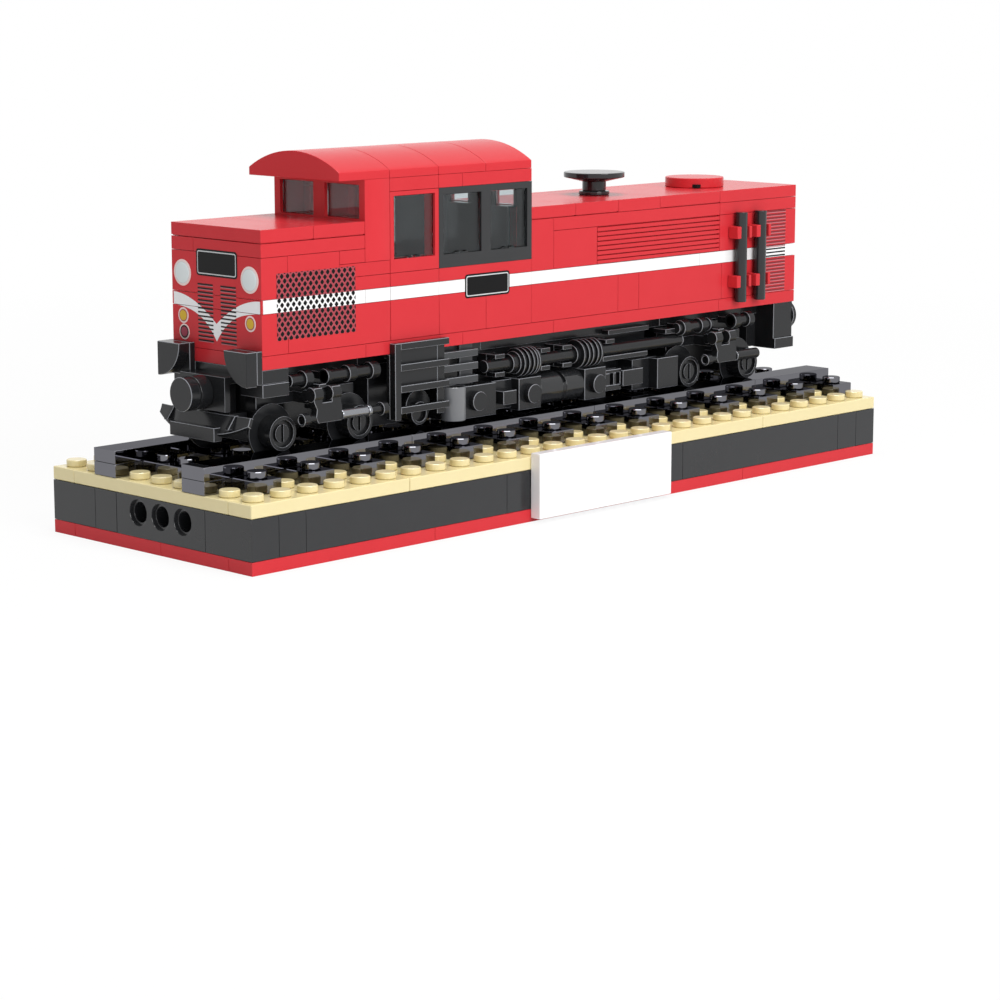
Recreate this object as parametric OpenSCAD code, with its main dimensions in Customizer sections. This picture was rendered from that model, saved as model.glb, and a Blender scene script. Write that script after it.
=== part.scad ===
// A brick-built model of a diesel locomotive, standing on its own track and display plinth.
// +X is the locomotive's front, +Y its left side, +Z is up.
// The origin is in the middle of the plinth's underside.

/* [Brick system] */
// Spacing of the studs, and the width of a one-stud brick
pitch = 8; // [6:0.1:10]
// Height of one plate; a brick is three plates high
plate_h = 3.2; // [2.6:0.1:4]
// Diameter of a stud
stud_d = 4.8; // [3.6:0.1:5.2]
// Height of a stud
stud_h = 1.7; // [1.2:0.1:2.2]
// Gap between neighbouring bricks of one kind
seam = 0.1; // [0.04:0.02:0.2]
// Wall of a hollow plate or brick
shell = 1.5; // [1.2:0.1:2]
// Diameter of a bar, rod or hand rail
bar_d = 3.2; // [2.4:0.1:3.6]

/* [Plinth] */
// Length of the plinth, in studs
plinth_studs_x = 28; // [28:2:40]
// Width of the plinth, in studs
plinth_studs_y = 9; // [9:2:15]
// Diameter of the pin holes in the plinth's front
pin_d = 4.8; // [3.6:0.1:5]
// Diameter of the step round each pin hole's mouth
pin_mouth_d = 6.2; // [5.4:0.1:6.6]
// Depth of that step
pin_mouth_depth = 0.8; // [0.4:0.1:1.2]
// Length of the blank name plate, in studs
name_studs = 6; // [2:1:10]

/* [Wheels] */
// Diameter of the tread
wheel_d = 8; // [6.6:0.1:9.6]
// How far the flange stands out beyond the tread
flange_h = 2.5; // [1.6:0.1:2.5]
// Thickness of the flange
flange_t = 0.8; // [0.6:0.1:0.8]
// Side play between the flange and the rail
flange_gap = 0.4; // [0.4:0.05:0.5]
// Clearance between the tread and the rail
rail_gap = 0.1; // [0.05:0.05:0.2]
// Diameter of the axle
axle_d = 3; // [2.4:0.1:3.4]
// Radial clearance of the axle in its bearing
axle_gap = 0.06; // [0.03:0.01:0.1]
// Distance between a bogie's two axles
bogie_wheelbase = 24; // [22:0.5:28]

/* [Body] */
// How far the body's front stands back from the plinth's end
body_setback = 21; // [18:0.5:24]
// Length of the front hood, in studs
front_hood_studs = 4; // [4:1:5]
// Thickness of the cab's side walls
cab_wall = 4; // [3:0.5:5]
// How high the cab roof's crown stands above its edge
roof_rise = 4.5; // [3:0.5:6]
// Thickness of the cab roof at its edge
roof_edge = 1.9; // [1.6:0.1:3]
// Thickness of the window glass
glass_t = 1; // [0.8:0.1:1.2]

/* [Bogies] */
// Middle of the front bogie, behind the body's front
front_bogie_back = 17.9; // [17:0.1:19]
// Middle of the rear bogie, ahead of the body's rear
rear_bogie_ahead = 31.5; // [30:0.1:34]
// Radial clearance of the king pin in the underframe
bogie_gap = 0.3; // [0.2:0.05:0.5]
// Height of the gap between the bolster and the underframe
bolster_gap = 0.8; // [0.5:0.1:1]

/* [Hidden] */
$fn = 32;

RED = "#e34c50";
BLACK = "#2c2d2f";
TAN = "#e9d9a8";
TRACK_GREY = "#6f6f74";
GREY = "#8a8c90";
WHITE = "#f4f4f4";

// Lengths in studs
gauge_studs = 4;
sleeper_studs = 7;
body_studs = 24;
cab_studs = 7;

// Plinth and track
plinth_x = plinth_studs_x * pitch;
plinth_y = plinth_studs_y * pitch;
wall_z = plate_h;
top_plate_z = wall_z + 3 * plate_h;
track_z = top_plate_z + plate_h;
sleeper_top = track_z + plate_h;
rail_top = sleeper_top + plate_h;
rail_y = gauge_studs / 2 * pitch;
sleeper_pitch = 2 * pitch;
name_l = name_studs * pitch;
name_h = 2 * pitch;
name_z = wall_z + 3 * plate_h / 2 + 1 - name_h / 2;
pin_z = wall_z + 3 * plate_h / 2 + 1;

// Body: every level is a whole number of plates above the plinth's underside
body_half = 2 * pitch;
body_x = plinth_x / 2 - body_setback;
body_rear = body_x - body_studs * pitch;
foot_z = 13 * plate_h;
hood_z = foot_z + plate_h;
hood_top = 23 * plate_h;
roof_slab_z = hood_top - plate_h;
cab_x = body_x - front_hood_studs * pitch;
cab_rear = cab_x - cab_studs * pitch;
sill_z = 19 * plate_h;
cab_top = 26 * plate_h;
cab_floor_z = 16 * plate_h;
// Height of a brick laid on its side; one stud when five plates make two studs
side_h = 2.5 * plate_h;

// Wheels
axle_z = rail_top + rail_gap + wheel_d / 2;
wheel_out = body_half;
flange_y = rail_y - pitch / 2 - flange_gap;
bearing_half = flange_y - flange_t - 0.5;
front_bogie_x = body_x - front_bogie_back;
rear_bogie_x = body_rear + rear_bogie_ahead;

// Underframe and the pieces that hang from it
under_half = 1.2 * pitch;
under_z = foot_z - plate_h;
bolster_top = under_z - bolster_gap;
bolster_t = 2.6;
bolster_half = pitch - 1;
bearing_l = 6.4;
king_pin_d = stud_d;
side_y = body_half;
low_z = axle_z - wheel_d / 2 + 0.8;
carrier_half = 1.5 * pitch - side_h / 2;
carrier_front = front_bogie_x - bogie_wheelbase / 2 - wheel_d / 2 - flange_h - 3.5;
carrier_rear = rear_bogie_x + bogie_wheelbase / 2 + wheel_d / 2 + flange_h + 2.5;
pipe_z = foot_z - 6.7;
tank_z = low_z + side_h / 2 - 0.1;

// A block from one corner to the other
module block(from, to) {
    translate(from) cube(to - from);
}

// A brick or plate from one corner to the other, a little smaller all round in plan
module brick(from, to) {
    block(from + [seam / 2, seam / 2, 0], to - [seam / 2, seam / 2, 0]);
}

// A plate that is hollow below
module hollow_plate(from, to) {
    difference() {
        brick(from, to);
        translate([0, 0, -1]) block(from + [shell, shell, 0], to - [shell, shell, shell - 1]);
    }
}

// A stud standing on a level at a place
module stud(at) {
    translate(at) cylinder(d = stud_d, h = stud_h);
}

// A round bar along X from x0 to x1
module bar_x(x0, x1, y, z, d = bar_d) {
    translate([x0, y, z]) rotate([0, 90, 0]) cylinder(d = d, h = x1 - x0);
}

// The same piece on the left and on the right
module both_sides() {
    children();
    mirror([0, 1, 0]) children();
}

// The middle of sleeper number i, counted from the front
function sleeper_x(i) = plinth_x / 2 - 1.5 * pitch - i * sleeper_pitch;
function is_sleeper_column(k) = k % 2 == 1 && k < plinth_studs_x;

// ---- Plinth ----

// Joints between the plates along X and along Y
function base_cuts_x() = [-plinth_x / 2, -plinth_x / 4, 0, plinth_x / 4, plinth_x / 2];
function base_cuts_y() = [-plinth_y / 2, -plinth_y / 2 + pitch, pitch / 2, plinth_y / 2 - pitch, plinth_y / 2];

module plinth_base_plates() {
    xs = base_cuts_x();
    ys = base_cuts_y();
    color(RED)
    for (i = [0 : len(xs) - 2], j = [0 : len(ys) - 2])
        hollow_plate([xs[i], ys[j], 0], [xs[i + 1], ys[j + 1], wall_z]);
}

// The walls are one stud thick; the pin brick fills a gap of four studs in the front wall
pin_brick_y0 = -1.5 * pitch;
pin_brick_y1 = pin_brick_y0 + 4 * pitch;

module plinth_wall_bricks() {
    x = plinth_x / 2;
    y = plinth_y / 2;
    color(BLACK) {
        brick([x - pitch, -y, wall_z], [x, pin_brick_y0 - pitch, top_plate_z]);
        brick([x - pitch, pin_brick_y0 - pitch, wall_z], [x, pin_brick_y0, top_plate_z]);
        brick([x - pitch, pin_brick_y1, wall_z], [x, y, top_plate_z]);
        brick([-x, -y, wall_z], [-x + pitch, y, top_plate_z]);
        both_sides() {
            brick([-x + pitch, y - pitch, wall_z], [-x / 2, y, top_plate_z]);
            brick([-x / 2, y - pitch, wall_z], [x / 2, y, top_plate_z]);
            brick([x / 2, y - pitch, wall_z], [x - pitch, y, top_plate_z]);
        }
        // Ribs inside that carry the top plates
        for (s = [-1, 1])
            brick([s * x / 2 - pitch, -y + pitch, wall_z], [s * x / 2, y - pitch, top_plate_z]);
    }
}

module plinth_pin_brick() {
    x = plinth_x / 2;
    color(BLACK)
    difference() {
        brick([x - pitch, pin_brick_y0, wall_z], [x, pin_brick_y1, top_plate_z]);
        for (i = [1 : 3])
            translate([x, pin_brick_y0 + i * pitch, pin_z]) rotate([0, 90, 0]) {
                translate([0, 0, -pitch - 1]) cylinder(d = pin_d, h = pitch + 2);
                translate([0, 0, -pin_mouth_depth - seam / 2]) cylinder(d = pin_mouth_d, h = pin_mouth_depth + 1);
            }
    }
}

module plinth_top_plates() {
    x = plinth_x / 2;
    y = plinth_y / 2;
    hidden = floor(sleeper_studs / 2) + 1;
    xs = [-x, -x / 2, 0, x / 2, x];
    ys = [-y, -y + pitch, y];
    color(TAN) {
        for (i = [0 : len(xs) - 2], j = [0 : len(ys) - 2])
            brick([xs[i], ys[j], top_plate_z], [xs[i + 1], ys[j + 1], track_z]);
        for (k = [0 : plinth_studs_x - 1], j = [0 : plinth_studs_y - 1]) {
            sx = x - (k + 0.5) * pitch;
            sy = -y + (j + 0.5) * pitch;
            under_sleeper = is_sleeper_column(k) && abs(sy) < hidden * pitch;
            under_block = k == 0 && abs(abs(sy) - rail_y) < pitch;
            if (!under_sleeper && !under_block) stud([sx, sy, track_z]);
        }
    }
}

module name_plate() {
    y = plinth_y / 2;
    color(WHITE)
    block([-name_l / 2, y, name_z], [name_l / 2, y + plate_h, name_z + name_h]);
}

// ---- Track ----

module sleepers() {
    half = sleeper_studs / 2 * pitch;
    color(TRACK_GREY)
    for (i = [0 : plinth_studs_x / 2 - 1]) {
        x = sleeper_x(i);
        brick([x - pitch / 2, -half, track_z], [x + pitch / 2, half, sleeper_top]);
        for (y = [-3, -1, 0, 1, 3]) stud([x, y * pitch, sleeper_top]);
    }
}

module rail_end_blocks() {
    x = plinth_x / 2;
    color(TRACK_GREY)
    both_sides()
        brick([x - pitch, rail_y - pitch / 2, track_z], [x, rail_y + pitch / 2, sleeper_top]);
}

// One rail: a row of smooth tiles, each up to eight studs long
module rail(y) {
    x = plinth_x / 2;
    tile = 8 * pitch;
    color(TRACK_GREY)
    for (x1 = [x : -tile : -x + 1])
        brick([max(-x, x1 - tile), y - pitch / 2, sleeper_top], [x1, y + pitch / 2, rail_top]);
}

module left_rail() { rail(rail_y); }

module right_rail() { rail(-rail_y); }

// ---- Underframe ----

module underframe() {
    color(BLACK)
    difference() {
        block([body_rear + pitch, -under_half, under_z], [body_x - pitch, under_half, foot_z]);
        for (x = [front_bogie_x, rear_bogie_x])
            translate([x, 0, under_z - 1]) cylinder(d = king_pin_d + 2 * bogie_gap, h = plate_h + 2);
    }
}

module equipment_carrier() {
    color(BLACK)
    block([carrier_rear, -carrier_half, low_z], [carrier_front, carrier_half, under_z]);
}

module footplate() {
    x1 = body_x;
    cuts = [x1, x1 - 8 * pitch, x1 - 16 * pitch, body_rear];
    color(RED)
    for (i = [0 : len(cuts) - 2])
        brick([cuts[i + 1], -body_half, foot_z], [cuts[i], body_half, hood_z]);
}

// ---- Hoods ----

grille_x0 = body_x - 3.6 * pitch;
grille_x1 = grille_x0 + 3.03 * pitch;
grille_z0 = 15 * plate_h;
grille_h = 15.4 / 16 * 2 * pitch;
panel_t = 1.6;

module front_hood() {
    color(RED)
    difference() {
        block([cab_x, -body_half, hood_z], [body_x, body_half, roof_slab_z]);
        both_sides()
            block([grille_x0, body_half - panel_t, grille_z0],
                [grille_x1, body_half + 1, grille_z0 + grille_h]);
    }
}

module side_grilles() {
    gap = seam / 2;
    color(BLACK)
    both_sides()
        block([grille_x0 + gap, body_half - panel_t, grille_z0 + gap],
            [grille_x1 - gap, body_half, grille_z0 + grille_h - gap]);
}

module front_hood_roof() {
    color(RED)
    for (i = [0 : 1])
        brick([cab_x + i * front_hood_studs / 2 * pitch, -body_half, roof_slab_z],
            [cab_x + (i + 1) * front_hood_studs / 2 * pitch, body_half, hood_top]);
}

lamp_d = 6.2;
lamp_t = 0.5;
lamp_y = 1.5 * pitch;
lamp_z = 19.35 * plate_h;

module headlights() {
    color(WHITE)
    both_sides()
        translate([body_x, lamp_y, lamp_z]) rotate([0, 90, 0]) cylinder(d = lamp_d, h = lamp_t);
}

module nose_plate() {
    color(BLACK)
    block([body_x, -0.95 * pitch, 19.3 * plate_h], [body_x + lamp_t, 0.95 * pitch, 21.3 * plate_h]);
}

louvre_x0 = body_x - 20 * pitch;
louvre_x1 = body_x - 14 * pitch;
louvre_z0 = 18 * plate_h;
louvre_z1 = 21 * plate_h;
louvre_edge = 0.3 * plate_h;

module long_hood() {
    color(RED)
    difference() {
        block([body_rear, -body_half, hood_z], [cab_rear, body_half, roof_slab_z]);
        both_sides()
            block([louvre_x0, body_half - panel_t, louvre_z0],
                [louvre_x1, body_half + 1, louvre_z1]);
    }
}

// Ribbed panels: a thin back with horizontal ribs
module louvre_panels() {
    ribs = 7;
    step = (louvre_z1 - louvre_z0 - louvre_edge) / ribs;
    color(RED)
    both_sides() {
        block([louvre_x0 + seam / 2, body_half - panel_t, louvre_z0],
            [louvre_x1 - seam / 2, body_half - panel_t / 2, louvre_z1]);
        for (i = [0 : ribs - 1])
            block([louvre_x0 + seam / 2, body_half - panel_t, louvre_z0 + louvre_edge + (i + 0.2) * step],
                [louvre_x1 - seam / 2, body_half, louvre_z0 + louvre_edge + (i + 0.75) * step]);
    }
}

module long_hood_roof() {
    cuts = [cab_rear, cab_rear - 4 * pitch, cab_rear - 8 * pitch, body_rear];
    color(RED)
    for (i = [0 : len(cuts) - 2])
        brick([cuts[i + 1], -body_half, roof_slab_z], [cuts[i], body_half, hood_top]);
}

dish_x = cab_rear - 5 * pitch;
vent_x = cab_rear - 10 * pitch;

module roof_dish() {
    stem = 1.25 * plate_h;
    color(BLACK)
    translate([dish_x, 0, hood_top]) {
        cylinder(d = 6.2, h = stem);
        translate([0, 0, stem]) cylinder(d1 = 1.5 * pitch, d2 = 2 * pitch, h = 0.6 * plate_h, $fn = 48);
    }
}

module roof_vent() {
    color(RED)
    translate([vent_x, 0, hood_top]) cylinder(d = 2 * pitch, h = 0.9 * plate_h);
}

rail_x1 = body_x - 21.85 * pitch;
rail_post_gap = pitch;

module hand_rails() {
    color(BLACK)
    both_sides()
        for (i = [0 : 1])
            translate([rail_x1 + i * rail_post_gap, body_half + bar_d / 2 + 0.2, hood_z - 1.1])
                cylinder(d = bar_d, h = 3 * pitch);
}

module hand_rail_clips() {
    color(RED)
    both_sides()
        for (i = [0 : 1], level = [0.9, 5])
            translate([rail_x1 + i * rail_post_gap, body_half + bar_d / 2 + 0.2, hood_z + level * plate_h])
                difference() {
                    union() {
                        cylinder(d = bar_d + 2.4, h = plate_h);
                        translate([-bar_d / 2, -bar_d / 2 - 0.2, 0]) cube([bar_d, bar_d / 2, plate_h]);
                    }
                    translate([0, 0, -1]) cylinder(d = bar_d + seam, h = plate_h + 2);
                    translate([-bar_d, -bar_d - 0.2 - bar_d / 2, -1]) cube([2 * bar_d, bar_d, plate_h + 2]);
                }
}

// ---- Cab ----

frame_x1 = cab_x - 3 * pitch;
frame_z1 = sill_z + 6 * plate_h;
side_window_x = cab_x - 2 * pitch;
side_window_w = 1.68 * pitch;
side_window_z0 = 20 * plate_h;
side_window_h = 4.66 * plate_h;
front_window_w = 1.5 * pitch;
rear_window_w = 0.8 * pitch;
front_window_z0 = hood_top + 0.1 * plate_h;
front_window_h = 2.5 * plate_h;
pane_w = 1.6 * pitch;
pane_z0 = side_window_z0;
pane_h = 4.5 * plate_h;
rear_wall_t = pitch / 2;

module cab_floor() {
    color(RED)
    block([cab_rear + rear_wall_t, -body_half + cab_wall, hood_z],
        [cab_x - pitch, body_half - cab_wall, cab_floor_z]);
}

// An end wall has two windows above the hood
module cab_end_wall(x0, x1, half, window_half) {
    difference() {
        block([x0, -half, hood_z], [x1, half, cab_top]);
        both_sides()
            block([x0 - 1, pitch - window_half, front_window_z0],
                [x1 + 1, pitch + window_half, front_window_z0 + front_window_h]);
    }
}

// The front wall is a full brick thick and as wide as the body
module cab_front_wall() {
    color(RED) cab_end_wall(cab_x - pitch + seam, cab_x, body_half, front_window_w / 2);
}

// The rear wall stands between the side walls
module cab_rear_wall() {
    color(RED)
    cab_end_wall(cab_rear, cab_rear + rear_wall_t, body_half - cab_wall, rear_window_w / 2);
}

// A side wall has a small window, and an opening that the double window frame fills
module cab_side_wall() {
    difference() {
        block([cab_rear, body_half - cab_wall, hood_z], [cab_x - pitch, body_half, cab_top]);
        block([side_window_x - side_window_w / 2, body_half - cab_wall - 1, side_window_z0],
            [side_window_x + side_window_w / 2, body_half + 1, side_window_z0 + side_window_h]);
        block([cab_rear - 1, body_half - cab_wall - 1, sill_z],
            [frame_x1, body_half + 1, frame_z1]);
    }
}

module cab_left_wall() { color(RED) cab_side_wall(); }

module cab_right_wall() { color(RED) mirror([0, 1, 0]) cab_side_wall(); }

// The middles of the double frame's panes along X
function pane_places() = [for (i = [1, 3]) cab_rear + i * (frame_x1 - cab_rear) / 4];

module window_frame() {
    difference() {
        block([cab_rear, body_half - cab_wall, sill_z], [frame_x1 - seam, body_half, frame_z1]);
        for (x = pane_places())
            block([x - pane_w / 2, body_half - cab_wall - 1, pane_z0],
                [x + pane_w / 2, body_half + 1, pane_z0 + pane_h]);
    }
}

module left_window_frame() { color(BLACK) window_frame(); }

module right_window_frame() { color(BLACK) mirror([0, 1, 0]) window_frame(); }

// Panes sit in their openings, a seam clear of the edges
module cab_glass() {
    y0 = body_half - cab_wall / 2 - glass_t / 2;
    gap = seam / 2;
    color("lightblue", 0.4) {
        both_sides() {
            block([side_window_x - side_window_w / 2 + gap, y0, side_window_z0 + gap],
                [side_window_x + side_window_w / 2 - gap, y0 + glass_t, side_window_z0 + side_window_h - gap]);
            for (x = pane_places())
                block([x - pane_w / 2 + gap, y0, pane_z0 + gap],
                    [x + pane_w / 2 - gap, y0 + glass_t, pane_z0 + pane_h - gap]);
            for (pane = [[cab_x - 0.4 * pitch, front_window_w / 2], [cab_rear + rear_wall_t / 2, rear_window_w / 2]])
                block([pane[0] - glass_t / 2, pitch - pane[1] + gap, front_window_z0 + gap],
                    [pane[0] + glass_t / 2, pitch + pane[1] - gap, front_window_z0 + front_window_h - gap]);
        }
    }
}

// The roof: four arched pieces side by side, the first one standing out over the front
module cab_roof() {
    half = body_half;
    r = (half * half + roof_rise * roof_rise) / (2 * roof_rise);
    edge_z = cab_top + roof_edge;
    piece = (cab_studs + 1) / 4 * pitch;
    color(RED)
    for (i = [0 : 3])
        intersection() {
            brick([cab_rear + i * piece, -half, cab_top], [cab_rear + (i + 1) * piece, half, edge_z + roof_rise + 1]);
            translate([cab_rear - 1, 0, edge_z + roof_rise - r]) rotate([0, 90, 0])
                cylinder(r = r, h = 5 * piece, $fn = 96);
        }
}

// ---- Front end ----

bracket_t = 1.6;
buffer_t = plate_h;
buffer_top = foot_z + 1.4 * plate_h;
bracket_x = body_x - pitch;

// An angle bracket under the body's corner, with an upright for the buffer
module front_brackets() {
    color(BLACK)
    both_sides() {
        block([bracket_x, pitch, foot_z - plate_h], [body_x + bracket_t, 2 * pitch, foot_z]);
        block([body_x, pitch, foot_z - plate_h], [body_x + bracket_t, 2 * pitch, buffer_top]);
        block([bracket_x, pitch, bolster_top - bolster_t + 0.2], [body_x, 2 * pitch, foot_z - plate_h]);
    }
}

// A plate with one corner rounded to a quarter circle
module quarter_round() {
    intersection() {
        block([0, -pitch, -pitch], [buffer_t, 0, 0]);
        rotate([0, 90, 0]) cylinder(r = pitch, h = buffer_t, $fn = 64);
    }
}

module front_buffers() {
    color(BLACK)
    both_sides()
        translate([body_x + bracket_t, 2 * pitch, buffer_top]) quarter_round();
}

coupler_z = bolster_top + 0.48 + bracket_t - side_h / 2;
coupler_plate_x = body_x + 4.6;

module coupler_bracket() {
    color(BLACK) {
        top = coupler_z + side_h / 2;
        block([coupler_plate_x - bracket_t, -pitch, coupler_z - side_h / 2], [coupler_plate_x, pitch, top]);
        block([bracket_x, -pitch + seam, top - bracket_t], [coupler_plate_x - bracket_t, pitch - seam, top]);
        block([bracket_x, -pitch + seam, top], [body_x, pitch - seam, foot_z]);
    }
}

module front_coupler() {
    color(BLACK) {
        bar_x(coupler_plate_x, coupler_plate_x + plate_h - 0.4, 0, coupler_z, side_h);
        bar_x(coupler_plate_x + plate_h - 0.4, coupler_plate_x + plate_h, 0, coupler_z, side_h - 1);
        bar_x(coupler_plate_x + plate_h, coupler_plate_x + 2 * plate_h, 0, coupler_z, side_h);
    }
}

plough_x = body_x + 7.4;
plough_z = rail_top + 2.8;
plough_top = coupler_z - side_h / 2 - 0.4;
plough_t = 1.8;
plough_sweep = 0.36 * pitch;
plough_lift = 1.2 * plate_h;
plough_arm_x = front_bogie_x + bogie_wheelbase / 2 + bearing_l / 2 + 0.9;

// The blade's plan: a straight middle with wings that sweep back
module plough_plan(thickness) {
    half = 2 * pitch;
    polygon([[plough_x, -pitch], [plough_x, pitch], [plough_x - plough_sweep, half],
        [plough_x - plough_sweep - thickness, half], [plough_x - thickness, pitch - 1],
        [plough_x - thickness, 1 - pitch], [plough_x - plough_sweep - thickness, -half],
        [plough_x - plough_sweep, -half]]);
}

// The lower edge of a wing curves up from the middle to the side
function wing_edge(s) =
    [for (t = [0 : 0.125 : 1]) [s * (1 + t) * pitch, plough_z + 1.7 + (plough_lift - 1.7) * pow(t, 1.6)]];

module plough() {
    right = [for (i = [8 : -1 : 0]) wing_edge(-1)[i]];
    front = concat([[2 * pitch, plough_top], [-2 * pitch, plough_top]], right,
        [[-pitch, plough_z], [pitch, plough_z]], wing_edge(1));
    color(BLACK) {
        intersection() {
            linear_extrude(plough_top + 1) plough_plan(plough_t);
            rotate([90, 0, 90]) linear_extrude(plough_x + 1) polygon(front);
        }
        // A toe along the middle, and ribs that brace the wings from above
        block([plough_x - plough_t, -pitch, plough_z], [plough_x + 0.6, pitch, plough_z + plate_h]);
        both_sides()
            for (y = [pitch - 1, 1.6 * pitch])
                block([plough_x - plough_sweep - 4.4, y - 0.6, plough_top - plate_h],
                    [plough_x - plough_sweep - 0.8, y + 0.6, plough_top]);
        block([plough_arm_x, -pitch, plough_top - plate_h / 2], [plough_x - plough_t + 0.5, pitch, plough_top]);
        block([plough_arm_x, -pitch / 2, plough_top - plate_h],
            [plough_arm_x + 2, pitch / 2, coupler_z + side_h / 2 - bracket_t]);
    }
}

// ---- Rear end ----

rear_beam_h = 3.9 * plate_h;

module rear_beam() {
    lip = 0.6;
    color(BLACK) {
        block([body_rear, -body_half + lip, foot_z - 3 * plate_h], [body_rear + pitch, body_half - lip, foot_z]);
        both_sides()
            block([body_rear, pitch, foot_z - rear_beam_h],
                [body_rear + pitch, body_half, foot_z - 3 * plate_h]);
    }
}

rear_buffer_t = 2;

module rear_buffers() {
    color(BLACK)
    both_sides()
        bar_x(body_rear - rear_buffer_t, body_rear, 1.5 * pitch, coupler_z + 1.3, side_h);
}

// ---- Pieces along the sides, between the bogies ----

ladder_x0 = side_window_x - 1.19 * pitch;
ladder_l = 2.25 * pitch;
ladder_t = 2;
ladder_top = foot_z + 2.6;
ladder_h = 18.4;
rung_h = 1.6;

// Four rungs between two posts; the front post is a deep wall
module ladders() {
    step = 1.6 * plate_h;
    x1 = ladder_x0 + ladder_l;
    color(BLACK)
    both_sides() {
        block([x1 - 2, side_y, ladder_top - ladder_h], [x1, side_y + ladder_t, ladder_top]);
        block([x1 - 2, side_y - 1.2, ladder_top - ladder_h], [x1, side_y, foot_z]);
        block([ladder_x0 + 3, side_y, ladder_top - ladder_h], [ladder_x0 + 4.6, side_y + 1, ladder_top]);
        for (i = [0 : 3])
            block([ladder_x0, side_y + 0.3, ladder_top - rung_h - i * step],
                [x1, side_y + ladder_t, ladder_top - i * step]);
    }
}

bars_l = 1.4 * pitch;

// Three level bars on a thin upright plate, behind the ladder
module step_bars() {
    x1 = ladder_x0 + 0.8;
    color(BLACK)
    both_sides() {
        block([x1 - bars_l, side_y - 3.2, foot_z - 10], [x1 + ladder_l - 4, side_y - 1.8, foot_z]);
        for (i = [0 : 2])
            block([x1 - bars_l, side_y - 1.8, foot_z - 3.4 - i * 3.4],
                [x1 + ladder_l - 4, side_y - 0.2, foot_z - 1.6 - i * 3.4]);
        block([x1 - bars_l + 1, under_half, foot_z - 2], [x1 + ladder_l - 4, side_y - 3.2, foot_z]);
    }
}

pot_x = ladder_x0 - 5.4;

module sand_pots() {
    color(GREY)
    both_sides()
        difference() {
            translate([pot_x, 1.5 * pitch, low_z]) cylinder(d = side_h, h = side_h);
            translate([pot_x, 1.5 * pitch, low_z + 1.5]) cylinder(d = side_h - 2, h = side_h);
        }
}

pipe_y = 1.5 * pitch + 1;
pipe_front = cab_rear + 1.75 * pitch;
pipe_rear = rear_bogie_x + bogie_wheelbase / 2 + 1;
rib_d = 7.4;
clip_half = 2.8;

// A long air pipe with two ringed cylinders on it: a stud, then two discs with a neck between
module air_pipes() {
    color(BLACK)
    both_sides() {
        bar_x(pipe_rear, pipe_front, pipe_y, pipe_z);
        for (x = [cab_rear + 0.57 * pitch, cab_rear - 2.3 * pitch]) {
            bar_x(x - 1.9, x, pipe_y, pipe_z, stud_d);
            bar_x(x - 3, x - 1.9, pipe_y, pipe_z, rib_d);
            bar_x(x - 5, x - 3, pipe_y, pipe_z, rib_d - 1.8);
            bar_x(x - 6.9, x - 5, pipe_y, pipe_z, rib_d);
        }
    }
}

function clip_places() = [for (n = [1.25, -0.75, -1.75, -3.75]) cab_rear + n * pitch];

module pipe_clips() {
    color(BLACK)
    both_sides()
        for (x = clip_places())
            difference() {
                block([x - 1.7, carrier_half, pipe_z - clip_half], [x + 1.7, pipe_y + 1, pipe_z + clip_half]);
                bar_x(x - 3, x + 3, pipe_y, pipe_z, bar_d + seam);
                block([x - 3, pipe_y, pipe_z - bar_d / 2 - seam / 2], [x + 3, pipe_y + 3, pipe_z + bar_d / 2 + seam / 2]);
            }
}

tank_x1 = cab_rear - 0.45 * pitch;
tank_l = 2 * pitch;
tank_top = tank_z + side_h / 2;

module fuel_tanks() {
    color(BLACK)
    both_sides()
        bar_x(tank_x1 - tank_l + 0.1, tank_x1 - 0.1, 1.5 * pitch, tank_z, side_h);
}

// The square pieces at the tank's ends, each with a stud on its face
module tank_brackets() {
    color(BLACK)
    both_sides()
        for (x = [tank_x1, tank_x1 - tank_l - pitch]) {
            block([x, carrier_half, tank_z - side_h / 2], [x + pitch, side_y, tank_top]);
            translate([x + pitch / 2, side_y, tank_z]) rotate([-90, 0, 0]) cylinder(d = stud_d, h = stud_h);
        }
}

box_x1 = pot_x - side_h / 2 - 0.3;
box_x0 = tank_x1 + pitch + 5.2;
reel_x = ladder_x0 + 8.5;
slot_x1 = tank_x1 - tank_l - pitch - 0.1;
box_l = 6;

// A disc that faces the side, with a ring on it
module reel(x) {
    translate([x, carrier_half, tank_z]) rotate([-90, 0, 0]) {
        cylinder(d = side_h, h = 0.75 * pitch);
        cylinder(d = side_h - 2.4, h = 0.75 * pitch + 0.8);
    }
}

// Front to rear: a reel behind the ladder, a studded box with a step beside the tank,
// and a slotted piece, a small block and a plain box behind it
module equipment_boxes() {
    color(BLACK)
    both_sides() {
        reel(reel_x);
        block([box_x0, carrier_half, tank_z - side_h / 2], [box_x1, side_y, tank_top]);
        translate([box_x1 - 5, side_y, tank_z]) rotate([-90, 0, 0]) cylinder(d = stud_d, h = stud_h);
        block([tank_x1 + pitch + 0.1, carrier_half, tank_z - 1.6], [box_x0, side_y + 1.6, tank_z + 1.8]);
        difference() {
            block([slot_x1 - 14.6, carrier_half, tank_z - 2.6], [slot_x1, side_y, tank_z + 2.4]);
            for (x = [2.4, 5])
                block([slot_x1 - x - 0.8, side_y - 1, tank_z - 1.6], [slot_x1 - x, side_y + 1, tank_z + 1.6]);
        }
        block([slot_x1 - 16.6, carrier_half, tank_top - 1.8], [slot_x1, side_y, tank_top]);
        block([slot_x1 - 19, carrier_half, tank_z - side_h / 2], [slot_x1 - 15, side_y - 2, tank_top]);
        block([carrier_rear, carrier_half, tank_z - side_h / 2], [carrier_rear + box_l, side_y, tank_top]);
    }
}

// ---- Bogies ----

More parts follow.
